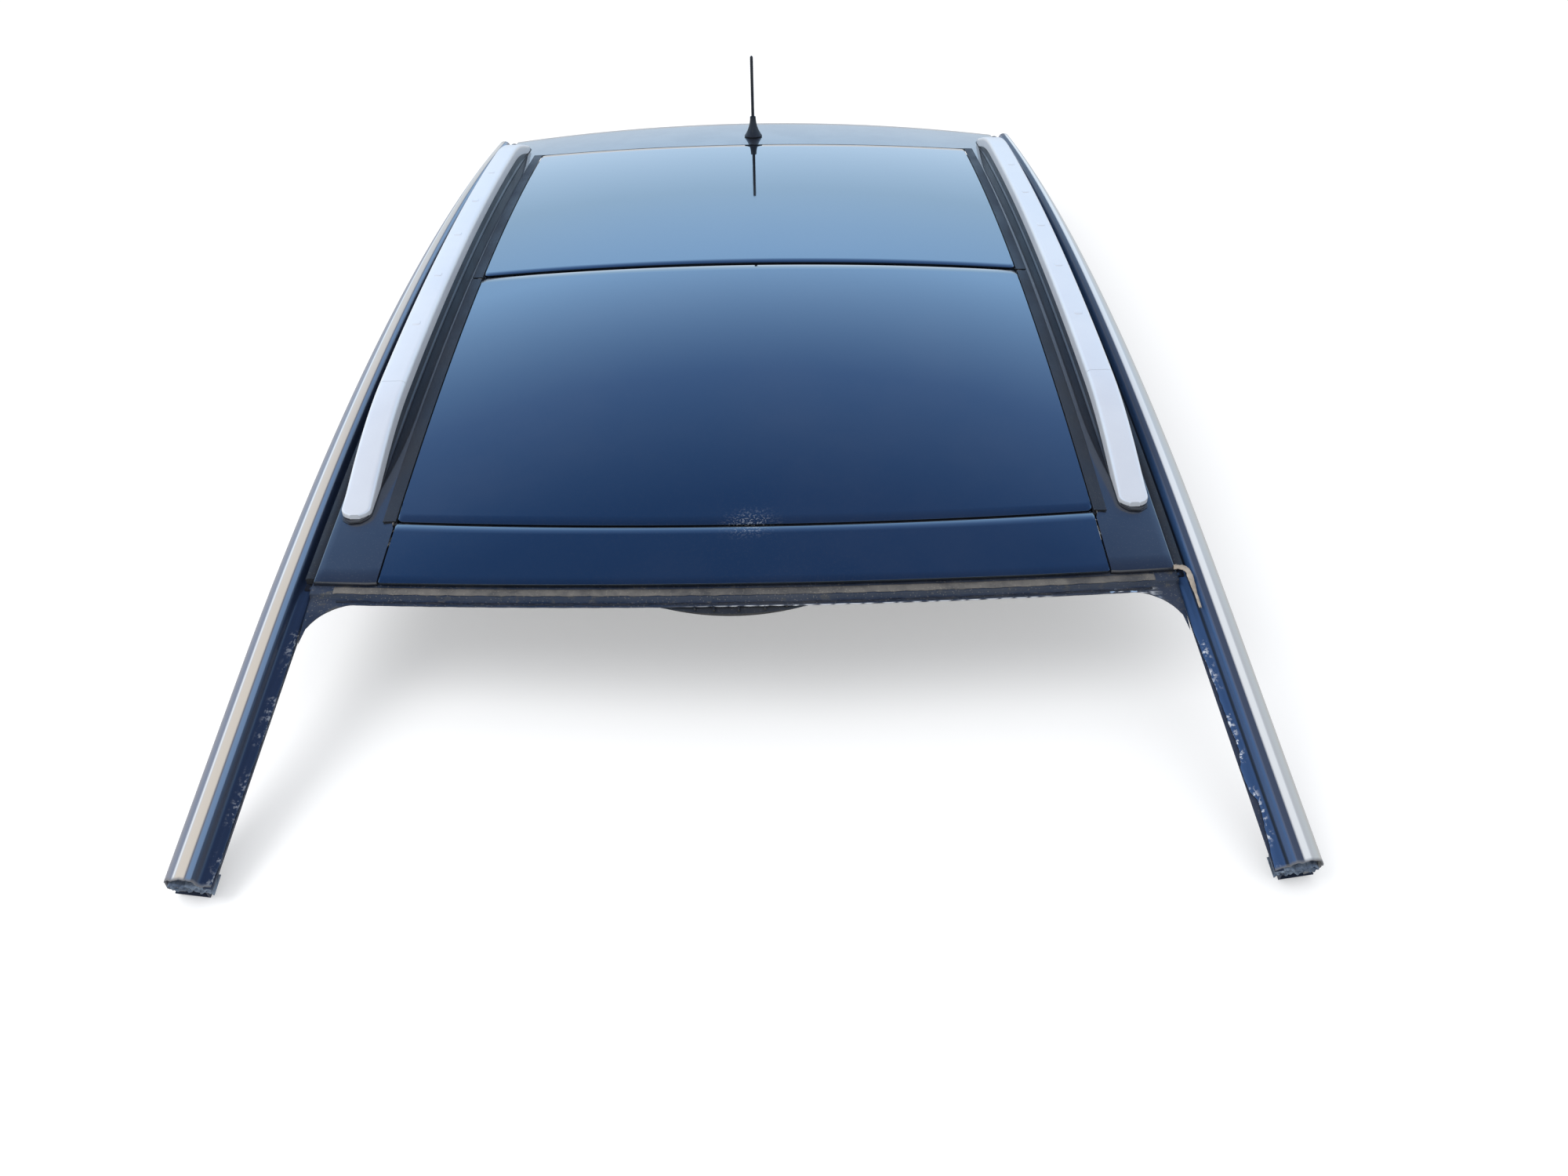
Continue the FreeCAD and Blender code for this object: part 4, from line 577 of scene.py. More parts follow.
@dataclass
class Wardrobe:
    """Builds each material once and puts it on pieces."""

    made: dict[str, bpy.types.Material] = field(default_factory=dict)

    def get(self, name: str) -> bpy.types.Material:
        """The material of a named finish."""
        if name not in self.made:
            self.made[name] = FINISHES[name].build()
        return self.made[name]

    def dress(self, thing: bpy.types.Object, name: str) -> bpy.types.Object:
        """Gives a piece one finish in place of what it had.

        Args:
            thing: the piece or CAD node.
            name: the finish's name.

        Returns:
            The same piece.
        """
        thing.data.materials.clear()
        thing.data.materials.append(self.get(name))
        return thing

    def fit(self, thing: bpy.types.Object, finish: str, body: str, *nodes: str) -> bpy.types.Object:
        """Dresses a new piece, hangs it on its body and hides the CAD nodes it stands for.

        Args:
            thing: the new piece, in its place.
            finish: the finish's name.
            body: the CAD body that carries it.
            nodes: the CAD nodes that it replaces.

        Returns:
            The same piece.
        """
        self.dress(thing, finish)
        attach(thing, body)
        if nodes:
            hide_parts(*nodes)
        LOG.info("%s: %d vertices on %s", thing.name, len(thing.data.vertices), body)
        return thing


WARDROBE = Wardrobe()
SIDES = (("left", -1.0), ("right", 1.0))


# Sub-assemblies
@dataclass
class RoofPanel:
    """The painted skin: side panels, rear panel, ditches and turned-down edges."""

    half: float = 0.559
    front: Bow = Bow(-0.746, 0.559, 0.049)
    rear: Bow = Bow(1.082, 0.559, -0.036)
    opening_half: float = 0.481
    slot_half: float = 0.4725
    trim_front: float = -0.595
    opening_end: float = 0.868
    glass_end: Bow = Bow(0.846, 0.47, 0.014)
    glass_gap: float = 0.0035
    roll: float = 0.003
    ditch_depth: float = 0.012
    ditch_width: float = 0.014
    steel: float = 0.0012

    def build(self) -> None:
        """Makes the skin as one grid with the glass opening left out."""
        turn = np.linspace(0, math.pi / 2, 5)
        side_x = np.linspace(self.opening_half + 0.004, self.half - self.roll, 9)
        roll_x = self.half - self.roll + self.roll * np.sin(turn[1:])
        roll_drop = -self.roll * (1 - np.cos(turn[1:]))
        floor_x = np.array([self.half, self.half + 0.002, self.half + self.ditch_width])
        floor_drop = np.array([-self.ditch_depth + 0.002, -self.ditch_depth, -self.ditch_depth])
        inner_x = np.full(3, self.opening_half)
        inner_drop = np.array([-0.018, -0.002, 0.0])
        right_x = np.concatenate([inner_x, side_x, roll_x, floor_x])
        right_drop = np.concatenate([inner_drop, np.zeros(len(side_x)), roll_drop, floor_drop])
        middle_x = np.linspace(-self.opening_half, self.opening_half, 31)[1:-1]
        x = np.concatenate([-right_x[::-1], middle_x, right_x])
        drop = np.concatenate([right_drop[::-1], np.zeros(len(middle_x)), right_drop])
        curled = np.array([0.0, 0.0, 0.0008, 0.0028])
        curl_drop = np.array([-0.006, -0.0028, -0.0008, 0.0])
        lip, run, back, tail = 4, 60, 12, 3
        share = np.concatenate([np.zeros(lip), np.linspace(0.0, 1.0, run + 1)[1:], np.ones(1 + back + tail)])
        clipped = np.clip(x, -self.half, self.half)
        front = self.front.at(clipped)[None, :]
        rear = self.rear.at(clipped)[None, :]
        y = front + (self.opening_end - front) * share[:, None]
        y[:lip] += curled[:, None]
        behind = np.linspace(0, 1, back + 1)[:, None]
        beside = np.abs(x) > self.glass_end.half + 0.0005
        half = self.glass_end.half
        along_glass = self.glass_end.at(np.clip(x, -half, half)) + self.glass_gap
        start = np.where(beside, self.opening_end, along_glass)
        y[-1 - back - tail:-tail] = start + (rear - 0.0028 - start) * behind
        y[-tail:] = rear - np.array([0.0008, 0.0, 0.0])[:, None]
        over = np.broadcast_to(drop, y.shape).copy()
        over[:lip] += curl_drop[:, None]
        middle_part = np.abs(x) <= self.opening_half + 1e-9
        over[-1 - back - tail:, middle_part] = 0.0
        over[-tail:] += np.array([-0.0008, -0.0028, -0.012])[:, None]
        places = np.broadcast_to(x, y.shape).copy()
        slot = (y < self.trim_front) & middle_part[None, :]
        places[slot] = np.sign(places[slot]) * self.slot_half
        over[slot] = np.maximum(over[slot], -0.006)
        grid = ROOF.points(places, y, over)
        centres = np.abs(x[1:] + x[:-1]) / 2
        row = np.arange(len(share) - 1)[:, None]
        opening = (centres < self.opening_half - 1e-6)[None, :] & (row < lip + run)
        flange = (np.abs(centres - self.opening_half) < 1e-6)[None, :] & (row >= lip + run - 1)
        doubled = np.broadcast_to(row == lip + run - 1, opening.shape)
        panel = Patchwork()
        panel.add(grid, keep=~(opening | flange | doubled))
        across = x[middle_part]
        depths = np.array([-0.006, -0.002, 0.0])[:, None]
        panel.add(ROOF.points(across[None, :], np.broadcast_to(start[middle_part], (3, len(across))), depths))
        thing = thicken(panel.build("roof_panel", closed=False), self.steel)
        WARDROBE.fit(thing, "roof_lacquer", "roof", "roof_skin")


@dataclass
class GlassPanels:
    """The fixed strip, the sliding panel and the fixed rear panel, with rounded corners."""

    half: float = 0.47
    thickness: float = 0.004
    corner: float = 0.009
    panel_front: Bow = Bow(-0.746, 0.559, 0.049)
    strip_rear: Bow = Bow(-0.640, 0.47, 0.043)
    slide_front: Bow = Bow(-0.634, 0.47, 0.043)
    slide_rear: Bow = Bow(0.110, 0.47, 0.005)
    rear_front: Bow = Bow(0.122, 0.47, 0.005)
    rear_rear: Bow = Bow(0.846, 0.47, 0.014)

    def _panel(self, name: str, front: Bow, rear: Bow, corner: float, rows: int) -> bpy.types.Object:
        """One pane as a grid between two bowed edges, with a rounded corner at each end.

        Near a corner the edge draws in by corner - sqrt(corner^2 - d^2), d being the
        distance past the point where the rounding starts.

        Args:
            name: the piece's name.
            front: the front edge.
            rear: the rear edge.
            corner: corner radius in metres.
            rows: points along the pane.

        Returns:
            The pane with its thickness.
        """
        bend = np.sin(np.linspace(0, math.pi / 2, 7))
        tip = self.half - corner + corner * bend
        x = np.concatenate([-tip[::-1], np.linspace(-self.half + corner, self.half - corner, 49)[1:-1], tip])
        past = np.clip(np.abs(x) - (self.half - corner), 0, corner)
        pull = corner - np.sqrt(np.maximum(corner**2 - past**2, 0))
        share = np.linspace(0, 1, rows)[:, None]
        start = front.at(x) + pull
        end = rear.at(x) - pull
        y = start + (end - start) * share
        pane = Patchwork()
        # A pale grainy patch on the glass at the middle of the joint between the strip and the sliding pane.
        near = np.exp(-((x[None, :] - 0.008) / 0.022) ** 2 - ((y + 0.632) / 0.016) ** 2)
        pane.add(ROOF.points(x[None, :], y), smudge=np.clip(near * 1.2, 0, 0.8))
        return thicken(pane.build(name, closed=False), self.thickness, 0.0005)

    def build(self) -> None:
        """Makes the three panes on their bodies."""
        strip = self._panel("glass_strip", self.panel_front, self.strip_rear, 0.003, 9)
        WARDROBE.fit(strip, "tinted_glass", "roof", "front_glass_strip")
        slide = self._panel("glass_sliding", self.slide_front, self.slide_rear, self.corner, 41)
        WARDROBE.fit(slide, "tinted_glass", "glass_panel", "sliding_glass")
        rear = self._panel("glass_rear", self.rear_front, self.rear_rear, self.corner, 41)
        WARDROBE.fit(rear, "tinted_glass", "roof", "rear_glass")
        self._lip()

    def _lip(self) -> None:
        """Rubber lip in the joint between the strip and the sliding panel.

        Its section is half an ellipse over a flat foot, carried along the strip's rear edge.
        """
        x = np.linspace(-self.half + 0.002, self.half - 0.002, 121)
        turn = np.linspace(0, math.pi, 9)
        along = np.concatenate([[0.0003], 0.0018 - 0.0015 * np.cos(turn), [0.0033]])
        over = np.concatenate([[-0.0046], -0.0026 + 0.0010 * np.sin(turn), [-0.0046]])
        y = self.strip_rear.at(x)[:, None] + along[None, :]
        lip = Patchwork()
        lip.add(ROOF.points(np.broadcast_to(x[:, None], y.shape), y, over[None, :]), wrap=True, caps=True)
        WARDROBE.fit(lip.build("front_joint_lip"), "rubber", "roof")


@dataclass
class Trims:
    """Side trims beside the glass, ditch mouldings and the strip that has torn loose."""

    trim_in: float = 0.4712
    trim_out: float = 0.489
    trim_top: float = 0.0023
    moulding_in: float = 0.5593
    moulding_out: float = 0.571
    split: float = 0.116
    front: float = -0.594
    rear: float = 0.864
    moulding_front: float = -0.693
    moulding_rear: float = 1.040

    def build(self) -> None:
        """Makes all strips."""
        middle = (self.trim_in + self.trim_out) / 2
        base = float(ROOF.crown(middle))
        corners = np.array(
            [
                [self.trim_in, base + 0.0004],
                [self.trim_in, base + self.trim_top],
                [self.trim_out, base + self.trim_top - 0.0005],
                [self.trim_out, base + 0.0001],
            ]
        )
        loop = rounded_loop(corners, 0.0012, 4)
        spans = (("front", self.front, self.split - 0.003, 33), ("rear", self.split + 0.003, self.rear, 33))
        for label, start, end, count in spans:
            strip = roof_strip(loop, np.linspace(start, end, count))
            for side, sign in SIDES:
                trim = Patchwork()
                trim.add(strip if sign > 0 else mirrored(strip), wrap=True, caps=True)
                name = f"{label}_trim_{side}"
                WARDROBE.fit(trim.build(f"{name}_strip"), "moulded_plastic", "roof", name)
        self._mouldings()

    def _mouldings(self) -> None:
        """Domed rubber strips in the ditches, and the torn end on the right."""
        base = float(ROOF.crown(self.moulding_in))
        width = self.moulding_out - self.moulding_in
        share = np.linspace(0, 1, 9)
        crest = base - 0.003 + 0.0014 * np.sin(math.pi * share)
        dome = np.stack([self.moulding_in + width * share, crest], axis=1)
        foot = np.array([[self.moulding_out, base - 0.0115], [self.moulding_in, base - 0.0115]])
        along = np.linspace(self.moulding_front, self.moulding_rear, 61)
        strip = roof_strip(np.concatenate([dome, foot]), along)
        for side, sign in SIDES:
            moulding = Patchwork()
            moulding.add(strip if sign > 0 else mirrored(strip), wrap=True, caps=True)
            thing = moulding.build(f"ditch_strip_{side}")
            WARDROBE.fit(thing, "rubber", "roof", f"ditch_moulding_{side}")
        self._torn_end()

    def _torn_end(self) -> None:
        """Loose end of the right moulding: a ribbon that lifts, folds over and hangs down.

        Its middle line is a running mean of straight pieces between chosen
        points, and its edges lie to both sides of it, square to the line.
        """
        roof_z = float(ROOF.height(0.559, -0.697))
        knots = np.array(
            [
                [0.556, -0.6975, roof_z + 0.0022],
                [0.563, -0.6990, roof_z + 0.0034],
                [0.570, -0.7010, roof_z + 0.0030],
                [0.5735, -0.7080, roof_z + 0.0010],
                [0.5745, -0.722, roof_z - 0.0035],
                [0.5755, -0.740, roof_z - 0.0085],
                [0.5770, -0.762, roof_z - 0.0150],
            ]
        )
        at = np.linspace(0, 1, 56)
        line = np.stack([np.interp(at, np.linspace(0, 1, len(knots)), knots[:, k]) for k in range(3)], axis=1)
        kernel = np.ones(7) / 7
        line[3:-3] = np.stack([np.convolve(line[:, k], kernel, mode="valid") for k in range(3)], axis=1)
        ahead = np.gradient(line, axis=0)
        ahead /= np.linalg.norm(ahead, axis=1)[:, None]
        side = np.cross(ahead, np.array([0.25, 0.0, 1.0]))
        side /= np.linalg.norm(side, axis=1)[:, None]
        across = np.linspace(-1, 1, 7)
        width = 0.0052 * (1 + 0.2 * ripple(at, 17.0, 2.0)) * (1 - 0.6 * smooth_step(at, 0.35, 1.0))
        grid = line[:, None] + side[:, None] * (across[None, :] * width[:, None])[..., None]
        grid[..., 2] += 0.0004 * ripple(at, 31.0, 4.0)[:, None] - 0.0008 * across[None, :] ** 2
        ribbon = Patchwork()
        ribbon.add(grid)
        thing = thicken(ribbon.build("torn_strip", closed=False), 0.0012)
        WARDROBE.fit(thing, "torn_rubber", "roof")


@dataclass
class Pillars:
    """Stamped outer skins of the windscreen pillars and cant rails."""

    inner_x: float = 0.561
    drop: float = 0.015
    slope: float = 20.8
    splay: float = 6.9
    bend_y: float = -0.668
    bend_radius: float = 0.620
    end_y: float = -1.0795
    rear_y: float = 1.060
    flange: float = 0.015
    rise: float = 0.016
    crest: float = 0.044
    side: float = 0.040
    steel: float = 0.0016
    tail_taper: float = 0.45
    colour_names: tuple[str, ...] = ("navy", "blue", "slate", "sheen", "warm", "silver", "bright", "line")
    left_notches: tuple[tuple[float, float], ...] = ((0.0, 0.002), (0.03, 0.0), (0.08, 0.001), (0.2, 0.0))
    right_notches: tuple[tuple[float, float], ...] = (
        (0.0, 0.0), (0.03, 0.003), (0.086, 0.0085), (0.098, 0.0012), (0.128, 0.0004), (0.151, 0.0065),
        (0.188, 0.0045), (0.26, 0.003), (0.33, 0.0),
    )
    # Bands across the section, as shares of its outline. Navy is the paint itself. The lighter blue, grey,
    # beige, silver and white bands are painted reflections and painted highlights, and the black line is
    # painted shade in the crease between flange and wall.
    bands: dict[str, tuple[tuple[str, float, float], ...]] = field(
        default_factory=lambda: {
            "left": (("navy", -1.0, 0.255), ("sheen", 0.255, 0.305), ("slate", 0.305, 0.32),
                     ("warm", 0.32, 0.43), ("bright", 0.43, 0.455)),
            "right": (("blue", -1.0, 0.265), ("line", 0.13, 0.165), ("slate", 0.265, 0.35),
                      ("bright", 0.35, 0.44), ("silver", 0.44, 2.0)),
        }
    )

    def route(self) -> tuple[Array, Array, Array]:
        """The pillar's spine with its outward and upward directions.

        The spine follows the roof's long curve, then an arc that turns from the
        roof's direction to the pillar's, then a straight line. Past the roof the
        directions turn with the spine about the arc's axis.

        Returns:
            Points, outward directions and upward directions, each of shape (n, 3).
        """
        hub = np.array([self.inner_x, ROOF.apex_y, ROOF.apex_z - ROOF.along])
        reach = ROOF.along + float(ROOF.crown(self.inner_x)) - self.drop
        first = math.asin((self.rear_y - ROOF.apex_y) / ROOF.along)
        last = math.asin((self.bend_y - ROOF.apex_y) / ROOF.along)
        angle = np.linspace(first, last, 70)
        up = np.stack([np.zeros_like(angle), np.sin(angle), np.cos(angle)], axis=1)
        roof_line = hub + reach * up
        out = np.broadcast_to([1.0, 0.0, 0.0], roof_line.shape)
        ahead = np.array([0.0, -math.cos(last), math.sin(last)])
        slope, splay = math.radians(self.slope), math.radians(self.splay)
        down = np.array([math.tan(splay), -1.0, -math.tan(slope)])
        down /= np.linalg.norm(down)
        axis = np.cross(ahead, down)
        axis /= np.linalg.norm(axis)
        whole = math.acos(float(ahead @ down))
        turn = np.linspace(0, whole, 25)[1:]
        inward = np.cross(axis, ahead)
        start = roof_line[-1]
        arc = np.sin(turn)[:, None] * ahead + (1 - np.cos(turn))[:, None] * inward
        bend = start + self.bend_radius * arc
        foot = bend[-1] + down * (bend[-1][1] - self.end_y) / -down[1]
        straight = bend[-1] + (foot - bend[-1]) * np.linspace(0, 1, 60)[1:, None]
        turns = np.concatenate([turn, np.full(59, whole)])
        out_bend, up_bend = (self._turned(v, axis, turns) for v in (out[-1], up[-1]))
        points = np.concatenate([roof_line, bend, straight])
        return points, np.concatenate([out, out_bend]), np.concatenate([up, up_bend])

    @staticmethod
    def _turned(vector: Array, axis: Array, angle: Array) -> Array:
        """A vector turned about an axis by each angle, by Rodrigues' formula."""
        cosine, sine = np.cos(angle)[:, None], np.sin(angle)[:, None]
        return vector * cosine + np.cross(axis, vector) * sine + axis * float(axis @ vector) * (1 - cosine)

    def section(self) -> Array:
        """Outer line of the skin, from the inner flange over the crest to the bottom edge."""
        f, r, c, s = self.flange, self.rise, self.crest, self.side
        corners = np.array(
            [
                [0.0, 0.0],
                [f, 0.0],
                [f + 0.005, r * 0.75],
                [f + 0.012, r],
                [f + c * 0.62, r - 0.001],
                [f + c * 0.9, r * 0.45],
                [f + c, -r * 0.4],
                [f + c - 0.002, r - s],
                [f + c - 0.016, r - s - 0.004],
            ]
        )
        bent = rounded_loop(corners, 0.009, 6)
        return np.concatenate([corners[:1], bent[6:-6], corners[-1:]])

    def build(self) -> None:
        """Makes both skins, with a ragged cut at the front end."""
        spine, out, up = self.route()
        line = self.section()
        span = np.linalg.norm(np.diff(line, axis=0), axis=1)
        around = np.concatenate([[0], np.cumsum(span)]) / np.sum(span)
        from_end = np.linalg.norm(spine - spine[-1], axis=1)[:, None]
        near_end = np.exp(-from_end / 0.012)
        back = smooth_step(spine[:, 1], -0.55, self.rear_y)[:, None]
        beyond = np.maximum(line[None, :, 0] - self.flange - self.rise, 0)
        for side, sign in SIDES:
            reach = line[None, :, 0] - beyond * self.tail_taper * back
            grid = spine[:, None] + reach[..., None] * out[:, None] + line[None, :, 1:] * up[:, None]
            grid[..., 1] += near_end * 0.004 * (0.5 + 0.5 * ripple(around * 6.0, 3.0, 3.0 + sign))[None, :]
            notch = self.right_notches if sign > 0 else self.left_notches
            torn_off = np.interp(from_end, *np.array(notch).T) + 0.0007 * ripple(from_end, 190.0, sign)
            grid[..., 0] += torn_off * (1 - smooth_step(around, 0.0, 0.13))[None, :]
            jagged = 0.018 * ripple(around * 9.0, 2.0, 2.0 + sign)[None, :] * near_end
            spots = smooth_step(ripple(from_end, 60.0, 2.0 + sign), -0.25, 0.25)
            chips = spots * (1 - smooth_step(around, 0.02, 0.125))[None, :] * (from_end < 0.34)
            chips = chips * (1.0 if sign > 0 else 0.3)
            marks = {name: 0.0 * from_end + np.zeros_like(around) for name in self.colour_names}
            # Painted reflection, highlight and shade bands across the skin, each with soft edges.
            for name, low, high in self.bands[side]:
                ending = smooth_step(around, high - 0.008, high + 0.008)
                band = smooth_step(around, low - 0.008, low + 0.008) * (1 - ending)
                marks[name] = np.maximum(marks[name], band[None, :])
            skin = Patchwork()
            skin.add(
                grid if sign > 0 else mirrored(grid),
                chips=chips,
                torn=smooth_step(near_end + jagged, 0.8, 0.88),
                **marks,
            )
            thing = skin.build(f"pillar_skin_{side}", closed=False)
            if sign > 0:
                thing.data.flip_normals()
            thicken(thing, self.steel * 0.8)
            WARDROBE.fit(thing, "pillar_lacquer_painted_reflections", "roof", f"body_side_{side}")
            self._crumpled(side, sign, spine[-1], out[-1], up[-1])

    def _crumpled(self, side: str, sign: float, end: Array, out: Array, up: Array) -> None:
        """Crushed inner sheets at the cut: three folded ribbons across the hollow box.

        Each ribbon runs across the section and goes a short way into it, and its
        height over the section's floor is a sum of sines along the width.

        Args:
            side: left or right.
            sign: 1 on the right, -1 on the left.
            end: the spine's last point, on the right.
            out: outward direction there.
            up: upward direction there.
        """
        across = np.linspace(0.002, self.flange + self.crest - 0.006, 46)
        inward = np.cross(up, out)
        inward = inward if inward[1] > 0 else -inward
        depth = np.linspace(-0.001, 0.022, 6)[:, None]
        sheets = Patchwork()
        for number, level in enumerate((-0.004, -0.009, -0.015)):
            fold = 0.0026 * ripple(across, 210.0 + 40 * number, number + 3.0 + sign)[None, :]
            ragged = 0.0022 * ripple(across, 420.0, number + 1.0)[None, :]
            over = level + fold * (0.5 + 0.5 * np.cos(depth * 90.0))
            run = depth + ragged * (depth < 0.001)
            grid = end + across[None, :, None] * out + over[..., None] * up + run[..., None] * inward
            sheets.add(grid if sign > 0 else mirrored(grid))
        thing = thicken(sheets.build(f"crumpled_sheets_{side}", closed=False), 0.0007)
        WARDROBE.fit(thing, "crumpled_steel", "roof")


@dataclass
class Rails:
    """Bright roof rails with their front feet, rubber bases and plugs."""

    middle_x: float = 0.529
    width: float = 0.040
    height: float = 0.045
    bar_depth: float = 0.021
    front: float = -0.582
    seam: float = -0.309
    seam_gap: float = 0.0008
    rear: float = 0.938
    fall: float = 0.190
    tip: float = 0.007
    edge: float = 0.0033
    plug: float = 0.013
    plug_first: float = -0.130
    plug_pitch: float = 0.178

    def _levels(self, y: Array) -> tuple[Array, Array, Array]:
        """Top and bottom of the bar over the roof, and its half width, at each y.

        The foot rises from the tip by a quarter wave, the bar keeps its height,
        and the rear end falls by the same kind of wave.
        """
        front = np.sin(np.clip((y - self.front) / (self.seam - self.front), 0, 1) * math.pi / 2)
        back = np.sin(np.clip((self.rear - y) / self.fall, 0, 1) * math.pi / 2)
        share = np.minimum(front, back)
        top = self.edge + self.tip + (self.height - self.edge - self.tip) * share
        low = self.edge + (self.height - self.bar_depth - self.edge) * np.clip(share * 1.6 - 0.6, 0, 1)
        nose = np.clip((y - self.front) / 0.014, 0, 1)
        tail = np.clip((self.rear - y) / 0.012, 0, 1)
        rounded_nose = np.sqrt(np.clip(1 - (1 - nose) ** 2, 0.12, 1))
        half = self.width / 2 * rounded_nose * np.sqrt(np.clip(1 - (1 - tail) ** 2, 0.2, 1))
        return top, low, half

    def _bar(self, y: Array, lift: float = 0.0, grow: float = 0.0) -> Array:
        """Rounded bar: at each y a rectangle whose top corners are quarter circles.

        Args:
            y: places along the roof.
            lift: how far the top is raised.
            grow: how far each side is moved out.

        Returns:
            Points, shape (n, k, 3).
        """
        top, low, half = self._levels(y)
        top, half = top + lift, half + grow
        radius = np.minimum(0.007, (top - low) * 0.45)[:, None]
        turn = np.linspace(0, math.pi / 2, 6)[None, :]
        right_x = half[:, None] - radius + radius * np.cos(turn)
        right_z = top[:, None] - radius + radius * np.sin(turn)
        x = np.concatenate([half[:, None], right_x, -right_x[:, ::-1], -half[:, None]], axis=1)
        over = np.concatenate([low[:, None], right_z, right_z[:, ::-1], low[:, None]], axis=1)
        base = float(ROOF.crown(self.middle_x))
        z = self._over(y)[:, None] + base + over
        return np.stack([self.middle_x + x, np.broadcast_to(y[:, None], x.shape), z], axis=-1)

    @staticmethod
    def _over(y: Array) -> Array:
        """Height of the roof's middle line at y."""
        return ROOF.height(0.0, y)

    def build(self) -> None:
        """Makes feet, bars, bases and plugs on both sides."""
        nose = self.front + 0.014 * (1 - np.cos(np.linspace(0, math.pi / 2, 9)))
        foot_y = np.concatenate([nose, np.linspace(nose[-1], self.seam, 30)[1:]])
        tail = self.rear - 0.012 * (1 - np.cos(np.linspace(math.pi / 2, 0, 9)))
        bar_y = np.concatenate([np.linspace(self.seam + self.seam_gap, tail[0], 80)[:-1], tail])
        for side, sign in SIDES:
            for label, y in (("rail_foot", foot_y), ("roof_rail", bar_y)):
                piece = Patchwork()
                grid = self._bar(y)
                piece.add(grid if sign > 0 else mirrored(grid), wrap=True, caps=True)
                thing = piece.build(f"{label}_bright_{side}", angle=30)
                WARDROBE.fit(thing, "silver_rail", "roof", f"{label}_{side}")
            self._base(side, sign)
        self._plugs()

    def _base(self, side: str, sign: float) -> None:
        """Rubber base under a rail: from the roof up to the bar's underside, with a wider foot."""
        nose_y = np.linspace(self.front - 0.005, self.front + 0.02, 8)
        y = np.concatenate([nose_y, np.linspace(self.front + 0.03, self.rear + 0.005, 90)])
        _, low, _ = self._levels(np.clip(y, self.front, self.rear))
        low = np.maximum(low - 0.0004, 0.0026)
        nose = np.sqrt(np.clip(1 - (1 - np.clip((y - self.front + 0.005) / 0.016, 0, 1)) ** 2, 0.15, 1))
        half = 0.0195 * nose
        base = float(ROOF.crown(self.middle_x))
        steps = np.array([0.0, 0.12, 0.2, 1.0])
        flare = np.array([0.0012, 0.0010, -0.0012, -0.0014])
        slope = float(ROOF.crown(self.middle_x + 0.02) - ROOF.crown(self.middle_x))
        x = half[:, None] + flare[None, :]
        z = 0.0006 + (low[:, None] - 0.0006) * steps[None, :]
        full_x = np.concatenate([x, -x[:, ::-1]], axis=1)
        full_z = np.concatenate([z, z[:, ::-1]], axis=1)
        lean = slope * full_x / 0.02 * (1 - full_z / 0.03)
        height = self._over(y)[:, None] + base + full_z + lean
        grid = np.stack([self.middle_x + full_x, np.broadcast_to(y[:, None], full_x.shape), height], axis=-1)
        piece = Patchwork()
        piece.add(grid if sign > 0 else mirrored(grid), wrap=True, caps=True)
        WARDROBE.fit(piece.build(f"rail_base_{side}"), "pad_plastic", "roof", f"rail_pad_{side}")

    def _plugs(self) -> None:
        """Small plugs on top of the bars: rounded squares with domed faces."""
        group = Patchwork()
        turn = np.linspace(0, 2 * math.pi, 25)[:-1]
        square = (np.abs(np.cos(turn)) ** 4 + np.abs(np.sin(turn)) ** 4) ** -0.25
        scale = np.array([1.0, 1.0, 0.93, 0.6, 0.05])[:, None] * self.plug / 2
        lift = np.array([-0.003, 0.0004, 0.0009, 0.0011, 0.0012])[:, None]
        base = float(ROOF.crown(self.middle_x))
        for number in range(5):
            at = self.plug_first + self.plug_pitch * number
            for _, sign in SIDES:
                x = sign * self.middle_x + scale * square * np.cos(turn)
                y = at + scale * square * np.sin(turn)
                z = self._over(y) + base + self.height + lift
                group.add(np.stack(np.broadcast_arrays(x, y, z), axis=-1), wrap=True, caps=True)
        WARDROBE.fit(group.build("rail_plug_row"), "silver_rail", "roof", "rail_plugs")


